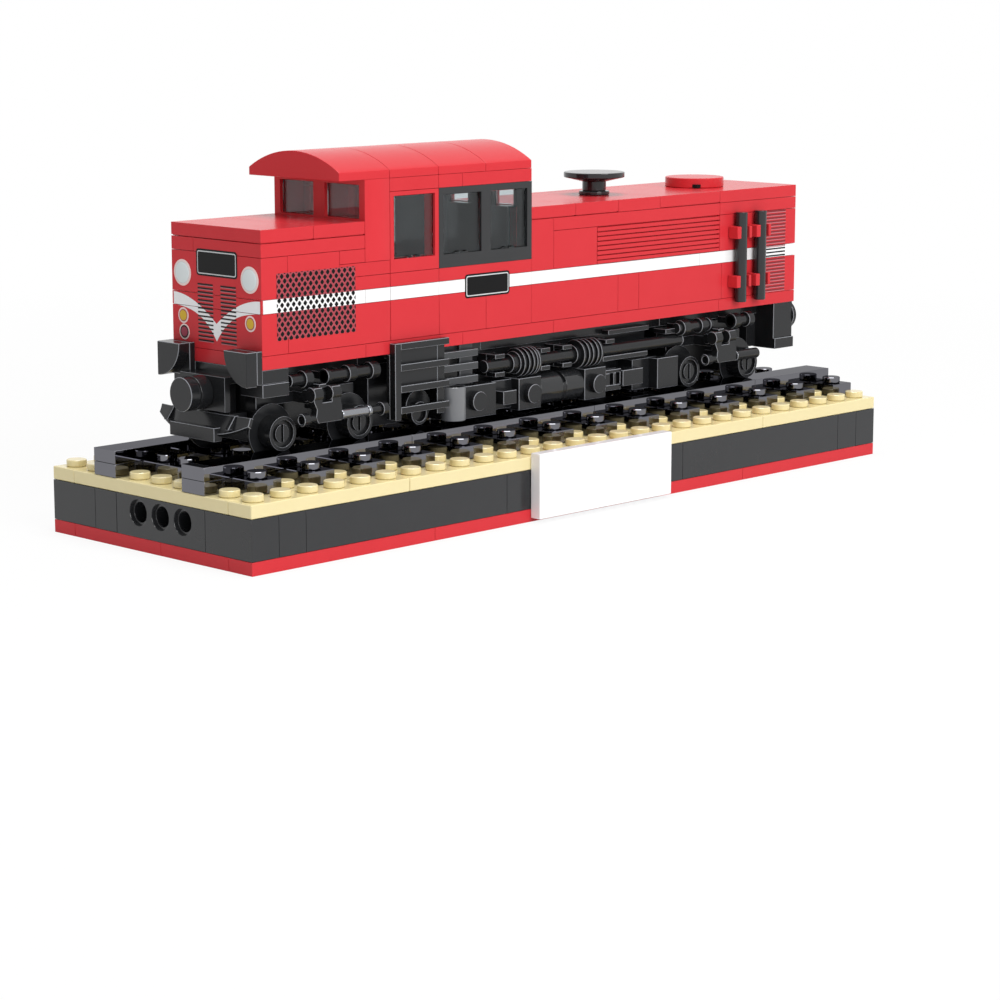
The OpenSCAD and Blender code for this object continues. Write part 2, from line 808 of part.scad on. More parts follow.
plate_l = 8.4;
plate_y = side_y + 0.5;
plate_t = 1.6;
link_z = axle_z + 2.3;
link_y = plate_y + plate_t / 2 + 0.6;
top_bar_z = foot_z - 3.4;
top_bar_y = 1.8 * pitch;
ring_d = 3.8;
finger_w = 4.1;
finger_gap = 0.5;

// Fixed bars under the body's edge, broken where a bogie's side plate reaches up between them
module side_bar(x0, x1) {
    bar_x(x0, x1, top_bar_y, top_bar_z);
    for (x = [x0, x0 + 3, x1 - 4, x1 - 1]) bar_x(x, x + 1, top_bar_y, top_bar_z, ring_d);
    block([(x0 + x1) / 2 - 2, under_half, foot_z - 3], [(x0 + x1) / 2 + 2, top_bar_y, foot_z - 1.4]);
}

module side_bars() {
    half = finger_w / 2 + finger_gap;
    color(BLACK)
    both_sides() {
        side_bar(front_bogie_x + 0.9 + half, bracket_x - 0.65);
        side_bar(front_bogie_x + 0.9 - half - 16, front_bogie_x + 0.9 - half);
        side_bar(rear_bogie_x - 0.9 + half, rear_bogie_x - 0.9 + half + 17.5);
        side_bar(rear_bogie_x - 0.9 - half - 8, rear_bogie_x - 0.9 - half);
    }
}

// A bogie's frame about its middle: a bolster with a king pin, and a bearing block for each axle
module bogie_frame() {
    bolster_z = bolster_top - bolster_t;
    end = bogie_wheelbase / 2 + bearing_l / 2;
    color(BLACK)
    difference() {
        union() {
            block([-end, -bolster_half, bolster_z], [end, bolster_half, bolster_top]);
            translate([0, 0, bolster_z]) cylinder(d = king_pin_d, h = foot_z - bolster_gap - bolster_z);
            block([-end, -bearing_half, bolster_z - bolster_t], [end, bearing_half, bolster_z]);
            for (s = [-1, 1])
                block([s * bogie_wheelbase / 2 - bearing_l / 2, -bearing_half, axle_z - 2.6],
                    [s * bogie_wheelbase / 2 + bearing_l / 2, bearing_half, bolster_z]);
            // Arms that carry the side plates, over the gap between the wheels
            block([-plate_l / 2 + 0.4, -plate_y, bolster_z - bolster_t], [plate_l / 2 - 0.4, plate_y, bolster_z]);
        }
        for (s = [-1, 1])
            translate([s * bogie_wheelbase / 2, 0, axle_z]) rotate([90, 0, 0])
                cylinder(d = axle_d + 2 * axle_gap, h = 4 * pitch, center = true);
    }
}

module front_bogie_frame() { translate([front_bogie_x, 0, 0]) bogie_frame(); }

module rear_bogie_frame() { translate([rear_bogie_x, 0, 0]) bogie_frame(); }

// A side plate seen from the side: narrow fingers at the top, a wide foot with a waist above it
module side_plate(s) {
    z0 = link_z - 1.6;
    color(BLACK)
    both_sides() {
        translate([0, plate_y + plate_t, 0]) rotate([90, 0, 0]) linear_extrude(plate_t)
            polygon([[-s * plate_l / 2 - s * 1.2, z0], [s * 3, z0], [s * 3.2, z0 + 3], [s * 2.4, z0 + 6],
                [s * (0.9 + finger_w / 2), z0 + 7.6], [s * (0.9 + finger_w / 2), top_bar_z],
                [s * (0.9 - finger_w / 2), top_bar_z], [s * (0.9 - finger_w / 2), z0 + 7.6],
                [-s * 4.4, z0 + 6], [-s * 4.2, z0 + 3]]);
        for (i = [-1, 1])
            bar_x(s * 0.9 + i * (finger_w / 2 - 0.75) - 0.75, s * 0.9 + i * (finger_w / 2 - 0.75) + 0.75,
                top_bar_y + 0.3, top_bar_z, 4.2);
        block([s * 0.9 - finger_w / 2, plate_y - 0.4, top_bar_z - 1.6],
            [s * 0.9 + finger_w / 2, plate_y + plate_t, top_bar_z]);
        // Hollow bar ends beside the plate
        difference() {
            union() {
                bar_x(2, 7.4, link_y, link_z);
                bar_x(-19.4, -15, link_y, link_z);
                bar_x(-19.4, 7.4, link_y, link_z, 1.6);
            }
            bar_x(6, 8, link_y, link_z, 1.8);
            bar_x(-20, -18, link_y, link_z, 1.8);
        }
    }
}

// A pale sleeve on the bar between the plate and the bar's rear end
module link_sleeve() {
    color(GREY)
    both_sides()
        difference() {
            bar_x(-14.9, -5.9, link_y, link_z, 2.8);
            bar_x(-16, -5, link_y, link_z, 1.6 + seam);
        }
}

module front_bogie_sides() { translate([front_bogie_x, 0, 0]) side_plate(1); }

module rear_bogie_sides() { translate([rear_bogie_x, 0, 0]) side_plate(-1); }

module front_bogie_links() { translate([front_bogie_x, 0, 0]) link_sleeve(); }

module rear_bogie_links() { translate([rear_bogie_x, 0, 0]) link_sleeve(); }

// ---- Wheels ----

// Half of a wheelset's profile, from the middle of the axle to the wheel's outer face
module wheel_half_profile() {
    r = wheel_d / 2;
    polygon([
        [0, 0], [axle_d / 2, 0], [axle_d / 2, flange_y - flange_t - 0.3], [r - 1, flange_y - flange_t],
        [r + flange_h - 0.2, flange_y - flange_t], [r + flange_h, flange_y - flange_t + 0.2],
        [r + flange_h, flange_y - 0.2], [r + flange_h - 0.2, flange_y], [r, flange_y], [r, wheel_out - 0.3],
        [r - 0.3, wheel_out], [0.6 * r, wheel_out], [0.6 * r, wheel_out - 1], [0, wheel_out - 1]
    ]);
}

// An axle with its two wheels, turned about the axle
module wheelset(x) {
    color(BLACK)
    translate([x, 0, axle_z])
        for (turn = [-90, 90])
            rotate([turn, 0, 0]) rotate_extrude() wheel_half_profile();
}

module front_leading_wheelset() { wheelset(front_bogie_x + bogie_wheelbase / 2); }

module front_trailing_wheelset() { wheelset(front_bogie_x - bogie_wheelbase / 2); }

module rear_leading_wheelset() { wheelset(rear_bogie_x + bogie_wheelbase / 2); }

module rear_trailing_wheelset() { wheelset(rear_bogie_x - bogie_wheelbase / 2); }

plinth_base_plates();
plinth_wall_bricks();
plinth_pin_brick();
plinth_top_plates();
name_plate();
sleepers();
rail_end_blocks();
left_rail();
right_rail();
underframe();
equipment_carrier();
side_bars();
footplate();
front_hood();
front_hood_roof();
side_grilles();
headlights();
nose_plate();
long_hood();
long_hood_roof();
louvre_panels();
roof_dish();
roof_vent();
hand_rails();
hand_rail_clips();
cab_floor();
cab_front_wall();
cab_left_wall();
cab_right_wall();
cab_rear_wall();
left_window_frame();
right_window_frame();
cab_glass();
cab_roof();
front_brackets();
front_buffers();
coupler_bracket();
front_coupler();
plough();
rear_beam();
rear_buffers();
ladders();
step_bars();
sand_pots();
air_pipes();
pipe_clips();
fuel_tanks();
tank_brackets();
equipment_boxes();
front_bogie_frame();
front_bogie_sides();
front_bogie_links();
rear_bogie_frame();
rear_bogie_sides();
rear_bogie_links();
front_leading_wheelset();
front_trailing_wheelset();
rear_leading_wheelset();
rear_trailing_wheelset();
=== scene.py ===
# A brick-built model of a diesel locomotive on its track and display plinth.
import math

import bmesh
import bpy
from mathutils import Matrix, Vector


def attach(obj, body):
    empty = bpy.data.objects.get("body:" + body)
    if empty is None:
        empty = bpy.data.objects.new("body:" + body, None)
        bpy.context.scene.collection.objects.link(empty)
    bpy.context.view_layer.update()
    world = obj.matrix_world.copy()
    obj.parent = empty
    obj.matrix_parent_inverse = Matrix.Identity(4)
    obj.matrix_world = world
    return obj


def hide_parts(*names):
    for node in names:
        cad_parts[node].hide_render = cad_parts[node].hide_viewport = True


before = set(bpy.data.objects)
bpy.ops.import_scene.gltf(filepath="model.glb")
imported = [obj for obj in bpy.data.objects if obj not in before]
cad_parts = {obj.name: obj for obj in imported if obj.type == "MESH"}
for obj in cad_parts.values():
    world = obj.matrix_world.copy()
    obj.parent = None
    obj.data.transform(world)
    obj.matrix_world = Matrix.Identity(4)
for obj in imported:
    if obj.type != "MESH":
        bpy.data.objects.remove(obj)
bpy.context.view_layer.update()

# ---- Camera ----
# A long lens a little above the roof, off the locomotive's front left corner.
camera = bpy.data.objects.new("camera", bpy.data.cameras.new("camera"))
camera.data.sensor_width = 36
camera.data.lens = 100.91
camera.location = (0.50249, 0.49735, 0.13118)
camera.rotation_euler = (math.radians(90 - 10.7133), 0, math.radians(134.5889))
bpy.context.scene.collection.objects.link(camera)
bpy.context.scene.camera = camera

# ---- Studio ----
# A white room with a soft window on the locomotive's left and a soft panel overhead.
# The floor is white card, which keeps a faint shadow under the plinth.
bpy.context.scene.view_settings.view_transform = "Standard"


def node(tree, kind, inputs=None, **settings):
    """Adds a node with its settings and its input values or links."""
    made = tree.nodes.new(kind)
    for key, value in settings.items():
        setattr(made, key, value)
    for key, value in (inputs or {}).items():
        if isinstance(value, bpy.types.NodeSocket):
            tree.links.new(value, made.inputs[key])
        else:
            made.inputs[key].default_value = value
    return made


def seen_directly(tree):
    """1 for camera, glossy and transmission rays, which look at the room itself."""
    rays = node(tree, "ShaderNodeLightPath")
    two = node(tree, "ShaderNodeMath", {0: rays.outputs["Is Camera Ray"],
               1: rays.outputs["Is Glossy Ray"]}, operation="MAXIMUM")
    return node(tree, "ShaderNodeMath", {0: two.outputs[0],
                1: rays.outputs["Is Transmission Ray"]}, operation="MAXIMUM").outputs[0]


ROOM_LIGHT = 0.35
world = bpy.data.worlds.new("white_room")
bpy.context.scene.world = world
world.use_nodes = True
tree = world.node_tree
tree.nodes.clear()
lit = node(tree, "ShaderNodeBackground", {"Color": (1, 1, 1, 1), "Strength": ROOM_LIGHT})
shown = node(tree, "ShaderNodeBackground", {"Color": (1, 1, 1, 1), "Strength": 1.0})
either = node(tree, "ShaderNodeMixShader",
              {0: seen_directly(tree), 1: lit.outputs[0], 2: shown.outputs[0]})
node(tree, "ShaderNodeOutputWorld", {"Surface": either.outputs[0]})


MODEL_MIDDLE = Vector((0, 0, 0.05))


def soft_panel(name, place, size, watts):
    """A square lamp that faces the middle of the model."""
    data = bpy.data.lights.new(name, "AREA")
    data.shape = "SQUARE"
    data.size = size
    data.energy = watts
    lamp = bpy.data.objects.new(name, data)
    lamp.location = place
    lamp.rotation_euler = (MODEL_MIDDLE - Vector(place)).to_track_quat("-Z", "Y").to_euler()
    bpy.context.scene.collection.objects.link(lamp)


soft_panel("left_window", (0.15, 1.25, 0.6), size=0.8, watts=12)
soft_panel("overhead_panel", (0.0, 0.1, 1.2), size=0.7, watts=10)

# White card floor: matt, nearly white where the plinth stands and plain white further out
FLOOR_R, SHADE_R, CLEAR_R, NEARLY_WHITE = 4.0, 0.15, 0.5, 0.88
card = bmesh.new()
bmesh.ops.create_circle(card, cap_ends=True, segments=96, radius=FLOOR_R)
floor = bpy.data.objects.new("floor", bpy.data.meshes.new("floor"))
card.to_mesh(floor.data)
card.free()
bpy.context.scene.collection.objects.link(floor)
white_card = bpy.data.materials.new("white_card")
white_card.use_nodes = True
tree = white_card.node_tree
tree.nodes.clear()
place = node(tree, "ShaderNodeTexCoord")
distance = node(tree, "ShaderNodeVectorMath", {0: place.outputs["Object"]}, operation="LENGTH")
fade = node(tree, "ShaderNodeMapRange", {"Value": distance.outputs["Value"], "From Min": SHADE_R,
            "From Max": CLEAR_R, "To Min": NEARLY_WHITE, "To Max": 1.0})
white = node(tree, "ShaderNodeMath", {0: fade.outputs[0], 1: seen_directly(tree)}, operation="MULTIPLY")
matt = node(tree, "ShaderNodeBsdfDiffuse", {"Color": (0.85, 0.85, 0.85, 1)})
glow = node(tree, "ShaderNodeEmission", {"Color": (1, 1, 1, 1), "Strength": 1.0})
mixed = node(tree, "ShaderNodeMixShader", {0: white.outputs[0], 1: matt.outputs[0], 2: glow.outputs[0]})
node(tree, "ShaderNodeOutputMaterial", {"Surface": mixed.outputs[0]})
floor.data.materials.append(white_card)

# ---- Plinth: red base plates ----
# Thin plates of red ABS laid in staggered rows, moulded glossy, with a hair's breadth
# between neighbours and a small round on each edge.
MM = 0.001
STUD_PITCH, PLATE_H, STUD_R, STUD_H = 8, 3.2, 2.4, 1.7
SEAM, BRICK_ROUND = 0.05, 0.06
HALF_L = 14 * STUD_PITCH
BODY = "plinth_and_body"


def linear(code):
    """An sRGB hex code as linear colour with alpha."""
    parts = [int(code[i:i + 2], 16) / 255 for i in (1, 3, 5)]
    return tuple(c / 12.92 if c <= 0.04045 else ((c + 0.055) / 1.055) ** 2.4 for c in parts) + (1,)


def moulded_abs(name, code, deeper, roughness=0.14, gloss=0.5, metallic=0.0, tint=None):
    """Glossy moulded plastic: even colour with faint flow marks and a polished skin."""
    material = bpy.data.materials.new(name)
    material.use_nodes = True
    tree = material.node_tree
    skin = tree.nodes["Principled BSDF"]
    place = node(tree, "ShaderNodeTexCoord")
    # Flow marks about 9 mm long
    flow = node(tree, "ShaderNodeTexNoise", {"Vector": place.outputs["Object"], "Scale": 1 / (9 * MM),
                "Detail": 3.0, "Roughness": 0.6})
    colour = node(tree, "ShaderNodeMix", {0: flow.outputs["Fac"], 6: linear(code), 7: linear(deeper)},
                  data_type="RGBA")
    tree.links.new(colour.outputs[2], skin.inputs["Base Color"])
    # Polish varies a little over 4 mm
    polish = node(tree, "ShaderNodeTexNoise", {"Vector": place.outputs["Object"], "Scale": 1 / (4 * MM)})
    rough = node(tree, "ShaderNodeMapRange", {"Value": polish.outputs["Fac"], "To Min": roughness * 0.9,
                 "To Max": roughness * 1.1})
    tree.links.new(rough.outputs[0], skin.inputs["Roughness"])
    skin.inputs["Metallic"].default_value = metallic
    skin.inputs["Specular IOR Level"].default_value = gloss
    if tint:
        skin.inputs["Specular Tint"].default_value = linear(tint)
    else:
        skin.inputs["IOR"].default_value = 1.54
    # Sink marks over 6 mm, a few thousandths of a millimetre deep
    sink = node(tree, "ShaderNodeTexNoise", {"Vector": place.outputs["Object"], "Scale": 1 / (6 * MM)})
    wave = node(tree, "ShaderNodeBump", {"Height": sink.outputs["Fac"], "Strength": 0.25,
                "Distance": 0.008 * MM})
    tree.links.new(wave.outputs[0], skin.inputs["Normal"])
    return material


# Red ABS: a soft satin gloss, which pales where it is seen at a low angle
red_abs = moulded_abs("red_moulded_abs", "#cd343b", "#c82f36", roughness=0.24, gloss=0.12)
# Black ABS: near black with a clear sheen, so that its faces look dark grey in white light
black_abs = moulded_abs("black_moulded_abs", "#27282a", "#222325", gloss=0.4)


def soften(mesh, width, segments=2, sharper_than=35, pale=False):
    """Rounds every outer edge that turns by more than an angle. Pale rounds take the
    piece's second material, a painted edge highlight."""
    mesh.normal_update()
    edges = [e for e in mesh.edges if len(e.link_faces) == 2
             and e.calc_face_angle_signed(0) > math.radians(sharper_than)]
    made = bmesh.ops.bevel(mesh, geom=edges, offset=width, offset_type="OFFSET", segments=segments,
                           profile=0.5, affect="EDGES", clamp_overlap=True, material=-1)
    if pale:
        for face in made["faces"]:
            face.material_index = 1


def piece(name, mesh, slot, *materials, body=BODY, stands_for=()):
    """Turns a bmesh in millimetres into a piece of the model."""
    for face in mesh.faces:
        face.smooth = True
    for edge in mesh.edges:
        edge.smooth = len(edge.link_faces) == 2 and edge.calc_face_angle(0) < math.radians(20)
    data = bpy.data.meshes.new(name)
    mesh.to_mesh(data)
    mesh.free()
    data.transform(Matrix.Scale(MM, 4))
    made = bpy.data.objects.new(name, data)
    bpy.context.scene.collection.objects.link(made)
    for material in materials:
        data.materials.append(material)
    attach(made, body)
    if stands_for:
        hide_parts(*stands_for)
    return made


def add_block(mesh, low, high, gap=0.0):
    """A block from corner to corner, smaller all round by a gap."""
    low, high = Vector(low), Vector(high)
    size = high - low - Vector((2 * gap,) * 3)
    return bmesh.ops.create_cube(mesh, size=1, matrix=Matrix.Translation((low + high) / 2)
                                 @ Matrix.Diagonal((*size, 1)))["verts"]


def add_rod(mesh, centre, axis, radius, length, segments=32, tip=None):
    """A rod about its centre, along x, y or z."""
    turn = {"x": Matrix.Rotation(math.pi / 2, 4, "Y"), "y": Matrix.Rotation(-math.pi / 2, 4, "X"),
            "z": Matrix.Identity(4)}[axis]
    return bmesh.ops.create_cone(mesh, cap_ends=True, segments=segments, radius1=radius,
                                 radius2=radius if tip is None else tip, depth=length,
                                 matrix=Matrix.Translation(centre) @ turn)["verts"]


def laid(name, rows, slot, material, gap=SEAM, round_off=BRICK_ROUND, **settings):
    """Bricks laid as a list of (low corner, high corner), each with its own rounds."""
    mesh = bmesh.new()
    for low, high in rows:
        add_block(mesh, low, high, gap)
    soften(mesh, round_off)
    return piece(name, mesh, slot, material, **settings)


base = []
for x0, x1 in ((-112, -56), (-56, 0), (0, 56), (56, 112)):
    for y0, y1 in ((-36, -28), (28, 36)):
        base.append(((x0, y0, 0), (x1, y1, PLATE_H)))
for x0, x1, middle in ((-112, -48, -4), (-48, 8, 4), (8, 64, -4), (64, 112, 4)):
    for y0, y1 in ((-28, middle), (middle, 28)):
        base.append(((x0, y0, 0), (x1, y1, PLATE_H)))
laid("red_base_plates", base, "red_abs", red_abs, stands_for=["plinth_base_plates"])

# ---- Plinth: black walls ----
# Plain black ABS bricks, one stud thick, round the plinth's edge. The front wall has a
# brick with three connector pin holes, each with a stepped mouth.
WALL_Z0, WALL_Z1 = PLATE_H, 4 * PLATE_H
wall = []
for y0, y1 in ((-36, -20), (-20, -12), (20, 36)):
    wall.append(((104, y0, WALL_Z0), (112, y1, WALL_Z1)))
for y0, y1 in ((-36, -4), (-4, 36)):
    wall.append(((-112, y0, WALL_Z0), (-104, y1, WALL_Z1)))
for side in (-1, 1):
    y0, y1 = sorted((side * 28, side * 36))
    for x0, x1 in ((-104, -96), (-96, -32), (-32, 32), (32, 96), (96, 104)):
        wall.append(((x0, y0, WALL_Z0), (x1, y1, WALL_Z1)))
laid("black_wall_bricks", wall, "black_abs", black_abs, stands_for=["plinth_wall_bricks"])


def outline_of(node_name):
    """A CAD piece's mesh in millimetres, with its flat faces made whole."""
    mesh = bmesh.new()
    mesh.from_mesh(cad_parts[node_name].data)
    bmesh.ops.scale(mesh, vec=(1 / MM,) * 3, verts=mesh.verts)
    bmesh.ops.remove_doubles(mesh, verts=mesh.verts, dist=0.002)
    bmesh.ops.dissolve_limit(mesh, angle_limit=math.radians(1.5), verts=mesh.verts, edges=mesh.edges)
    return mesh


def refined(name, node_name, slot, material):
    """A CAD piece with its edges rounded, as moulded parts have them."""
    mesh = outline_of(node_name)
    soften(mesh, 2 * BRICK_ROUND)
    return piece(name, mesh, slot, material, stands_for=[node_name])


refined("pin_hole_brick", "plinth_pin_brick", "black_abs", black_abs)

# ---- Plinth: tan top plates ----
# Sand-coloured studded plates. A single row of studs shows outside the sleepers, and the
# full width shows between them.
# Tan ABS: warm sand colour, glossy, with soft highlights on the studs
tan_abs = moulded_abs("tan_moulded_abs", "#e4d7a6", "#dfd09c")
TOP_Z0, TOP_Z1 = 4 * PLATE_H, 5 * PLATE_H
tan = bmesh.new()
for y0, y1, cuts in ((-36, -28, (-112, -64, 0, 64, 112)), (-28, 28, (-112, -56, 8, 72, 112)),
                     (28, 36, (-112, -64, 0, 64, 112))):
    for x0, x1 in zip(cuts, cuts[1:]):
        add_block(tan, (x0, y0, TOP_Z0), (x1, y1, TOP_Z1), SEAM)
for column in range(28):
    for row in range(9):
        x, y = HALF_L - (column + 0.5) * STUD_PITCH, -32 + row * STUD_PITCH
        under_sleeper = column % 2 == 1 and abs(y) < 30
        under_block = column == 0 and abs(abs(y) - 16) < 4
        if not under_sleeper and not under_block:
            add_rod(tan, (x, y, TOP_Z1 + STUD_H / 2 - 0.05), "z", STUD_R, STUD_H - 0.1, 24)
soften(tan, 0.16, 1)
piece("tan_top_plates", tan, "tan_abs", tan_abs, stands_for=["plinth_top_plates"])

# ---- Blank name plate ----
# A white tile panel on the plinth's left side, moulded glossy and left blank. It is pushed
# on over the middle of the black wall.
# White ABS: clean white with a sharp gloss
white_abs = moulded_abs("white_moulded_abs", "#f0f0f0", "#ececed")
laid("name_plate_panel", [((-24, 36.02, 1), (24, 39.2, 17))], "white_abs", white_abs, gap=0.0,
     round_off=0.3, stands_for=["name_plate"])

# ---- Track ----
# Dark pearl-grey ABS with a mirror polish: studded sleepers across the plinth and smooth
# tiles on them as rails.
# Pearl ABS: a dark mirror that shows the plinth, the studs and the white room in it
pearl_abs = moulded_abs("pearl_grey_abs", "#75757a", "#6e6e73", roughness=0.03, metallic=1.0,
                        tint="#9c9ca0")
SLEEPER_Z0, SLEEPER_Z1, RAIL_Z1 = 5 * PLATE_H, 6 * PLATE_H, 7 * PLATE_H
ties = bmesh.new()
for i in range(14):
    x = HALF_L - 12 - i * 16
    add_block(ties, (x - 4, -28, SLEEPER_Z0), (x + 4, 28, SLEEPER_Z1), SEAM)
    for y in (-24, -8, 0, 8, 24):
        add_rod(ties, (x, y, SLEEPER_Z1 + STUD_H / 2 - 0.05), "z", STUD_R, STUD_H - 0.1, 24)
soften(ties, 0.16, 1)
piece("sleeper_plates", ties, "pearl_grey_abs", pearl_abs, stands_for=["sleepers"])
RAIL_Y0, RAIL_Y1 = 12, 20
laid("rail_end_plates",
     [((104, y0, SLEEPER_Z0), (HALF_L, y0 + 8, SLEEPER_Z1)) for y0 in (-RAIL_Y1, RAIL_Y0)],
     "pearl_grey_abs", pearl_abs, stands_for=["rail_end_blocks"])
for y0, name in ((RAIL_Y0, "left_rail"), (-RAIL_Y1, "right_rail")):
    cuts = (HALF_L, 48, -16, -80, -HALF_L)
    laid(name + "_tiles",
         [((x0, y0, SLEEPER_Z1), (x1, y0 + 8, RAIL_Z1)) for x1, x0 in zip(cuts, cuts[1:])],
         "pearl_grey_abs", pearl_abs, stands_for=[name])

# ---- Footplate ----
# One course of red ABS plates, four studs wide, laid end to end. It carries the whole body
# and stands on the underframe's beam.
FOOT_Z = 13 * PLATE_H
HOOD_Z = FOOT_Z + PLATE_H
NOSE_X, TAIL_X, SIDE_Y = 91, -101, 16


def course(cuts, z0, z1, y0=-SIDE_Y, y1=SIDE_Y):
    """One row of bricks between the cuts along x, from front to rear."""
    return [((x0, y0, z0), (x1, y1, z1)) for x1, x0 in zip(cuts, cuts[1:])]


laid("footplate_plates", course((NOSE_X, 59, 27, -5, -69, TAIL_X), FOOT_Z, HOOD_Z),
     "red_abs", red_abs, stands_for=["footplate"])

# ---- Front hood ----
# Red bricks and plates in running bond. Tiles finish the top, and a tile has a fine groove
# round its foot. The white course ends just short of the nose, where the front brick covers it.
CAB_X, CAB_REAR = 59, 3
STRIPE_Z0, STRIPE_Z1 = 17 * PLATE_H, 18 * PLATE_H
SLAB_Z, HOOD_TOP = 22 * PLATE_H, 23 * PLATE_H
hood = course((NOSE_X, 83, 51), HOOD_Z, STRIPE_Z0)
hood += course((NOSE_X, NOSE_X - 0.5), STRIPE_Z0, STRIPE_Z1)
hood += course((NOSE_X, 83, 67), STRIPE_Z1, 21 * PLATE_H)
hood += course((67, 51), STRIPE_Z1, 19 * PLATE_H) + course((67, 51), 19 * PLATE_H, 20 * PLATE_H)
hood += course((67, CAB_X), 20 * PLATE_H, 21 * PLATE_H)
for y0, y1 in ((-8, SIDE_Y), (-SIDE_Y, -8)):
    hood += course((NOSE_X, CAB_X), 21 * PLATE_H, SLAB_Z, y0, y1)
laid("front_hood_bricks", hood, "red_abs", red_abs, stands_for=["front_hood"])
laid("white_course_front", course((NOSE_X - 0.5, CAB_X, 51), STRIPE_Z0, STRIPE_Z1),
     "white_abs", white_abs)
FOOT_INSET, FOOT_TOP, GROOVE = 0.25, 0.4, 0.2


def tiled(name, cuts, grooved, stands_for):
    """A row of slabs on top of a hood; each grooved one stands on a narrower foot."""
    rows = []
    for low, high in course(cuts, SLAB_Z, HOOD_TOP):
        if high[0] in grooved:
            rows.append(((low[0] + FOOT_INSET, low[1] + FOOT_INSET, low[2]),
                         (high[0] - FOOT_INSET, high[1] - FOOT_INSET, low[2] + FOOT_TOP)))
            low = (low[0], low[1], low[2] + GROOVE)
        rows.append((low, high))
    laid(name, rows, "red_abs", red_abs, stands_for=stands_for)


tiled("front_hood_tiles", (NOSE_X, 75, CAB_X), (NOSE_X, 75), ["front_hood_roof"])

# ---- Side grilles ----
# A mesh of dark openings printed on the bricks of the front hood, one on each side. Grey
# lines frame the openings on the red, and the white course shows between them.
GRILLE_X0, GRILLE_X1, GRILLE_Z0, GRILLE_Z1 = 62.2, 86.44, 48.0, 63.4
MESH_X, MESH_Z = 1.755, 1.1
MESH_ROWS, MESH_PER_ROW, MESH_TOP = 15, 14, 63.77
PRINT = 0.03
# Pad-printing inks: thin satin films, a little duller than the plastic under them
black_ink = moulded_abs("black_printing_ink", "#0e0e0f", "#0b0b0c", roughness=0.3, gloss=0.12)
mesh_grey_ink = moulded_abs("grey_red_printing_ink", "#a84f58", "#a24952", roughness=0.3, gloss=0.15)


def lozenges(half_w, half_h, corner, layer):
    """Rounded lozenges on both sides, in staggered rows, each a thin print."""
    mesh = bmesh.new()
    for k in range(MESH_ROWS):
        across = MESH_PER_ROW + k % 2
        for i in range(across):
            x = (GRILLE_X0 + GRILLE_X1) / 2 + (i - (across - 1) / 2) * MESH_X
            for side in (-1, 1):
                centre = (x, side * (SIDE_Y - SEAM + layer * PRINT), MESH_TOP - k * MESH_Z)
                bmesh.ops.create_circle(mesh, cap_ends=True, segments=4, radius=1,
                                        matrix=Matrix.Translation(centre)
                                        @ Matrix.Diagonal((half_w, 1, half_h, 1))
                                        @ Matrix.Rotation(side * -math.pi / 2, 4, "X"))
    bmesh.ops.bevel(mesh, geom=mesh.verts[:], offset=corner, offset_type="OFFSET", segments=2,
                    profile=0.5, affect="VERTICES", clamp_overlap=True, material=-1)
    return mesh


def keep_between(mesh, axis, low, high, closed=False):
    """Cuts away what lies outside two planes across an axis. A closed cut is capped."""
    for side, at in ((-1, low), (1, high)):
        normal = Vector((axis == "x", axis == "y", axis == "z")) * side
        bmesh.ops.bisect_plane(mesh, geom=mesh.verts[:] + mesh.edges[:] + mesh.faces[:], dist=0.0001,
                               plane_co=normal * side * at, plane_no=normal, clear_outer=True)
        if closed:
            bmesh.ops.holes_fill(mesh, edges=[e for e in mesh.edges if e.is_boundary], sides=0)


for part, z0, z1 in (("lower", GRILLE_Z0, STRIPE_Z0 + 0.05), ("upper", STRIPE_Z1 - 0.05, GRILLE_Z1)):
    frames = lozenges(0.84, 1.06, 0.16, 1)
    keep_between(frames, "x", GRILLE_X0, GRILLE_X1)
    keep_between(frames, "z", z0, z1)
    piece("grille_lines_" + part, frames, "grey_abs", mesh_grey_ink)
openings = lozenges(0.66, 0.72, 0.24, 2)
keep_between(openings, "x", GRILLE_X0, GRILLE_X1)
keep_between(openings, "z", GRILLE_Z0, GRILLE_Z1)
piece("grille_openings", openings, "black_abs", black_ink, stands_for=["side_grilles"])

# ---- Nose ----
# Prints on the front bricks: white wings that sweep down to a point, two banks of louvres,
# lamp rings and a framed plate left blank. The headlights are pale discs, slightly domed.
NOSE_PRINT = NOSE_X - SEAM
# White and silver inks: flat and even beside the glossier bricks
white_ink = moulded_abs("white_printing_ink", "#f2f2f4", "#ececee", roughness=0.3, gloss=0.15)
silver_ink = moulded_abs("silver_printing_ink", "#d2d5d7", "#c8cbcd", roughness=0.35, gloss=0.15)


def face_forward(mesh):
    """Turns the faces of a sheet to the front."""
    bmesh.ops.recalc_face_normals(mesh, faces=mesh.faces[:])
    bmesh.ops.reverse_faces(mesh, faces=[face for face in mesh.faces if face.normal.x < 0])


def wing(side):
    """One wing: a strip from the body's side to the middle that bends down and narrows."""
    mesh = bmesh.new()
    bmesh.ops.create_grid(mesh, x_segments=20, y_segments=1, size=0.5)
    for vert in mesh.verts:
        along, upper = vert.co.x + 0.5, vert.co.y > 0
        y = 15.45 * (1 - along)
        if upper:
            z = 57.35 - 6.4 * along ** 1.9
        else:
            z = 54.5 - 1.6 * along - 6.0 * along ** 3.4
        vert.co = (NOSE_PRINT + PRINT, side * y, z)
    face_forward(mesh)
    return mesh


for side, name in ((1, "left"), (-1, "right")):
    for part, z0, z1 in (("upper", STRIPE_Z0 + 0.06, 60), ("lower", 46, STRIPE_Z0 - 0.06)):
        strip = wing(side)
        keep_between(strip, "z", z0, z1)
        piece("nose_wing_" + name + "_" + part, strip, "white_abs", white_ink)
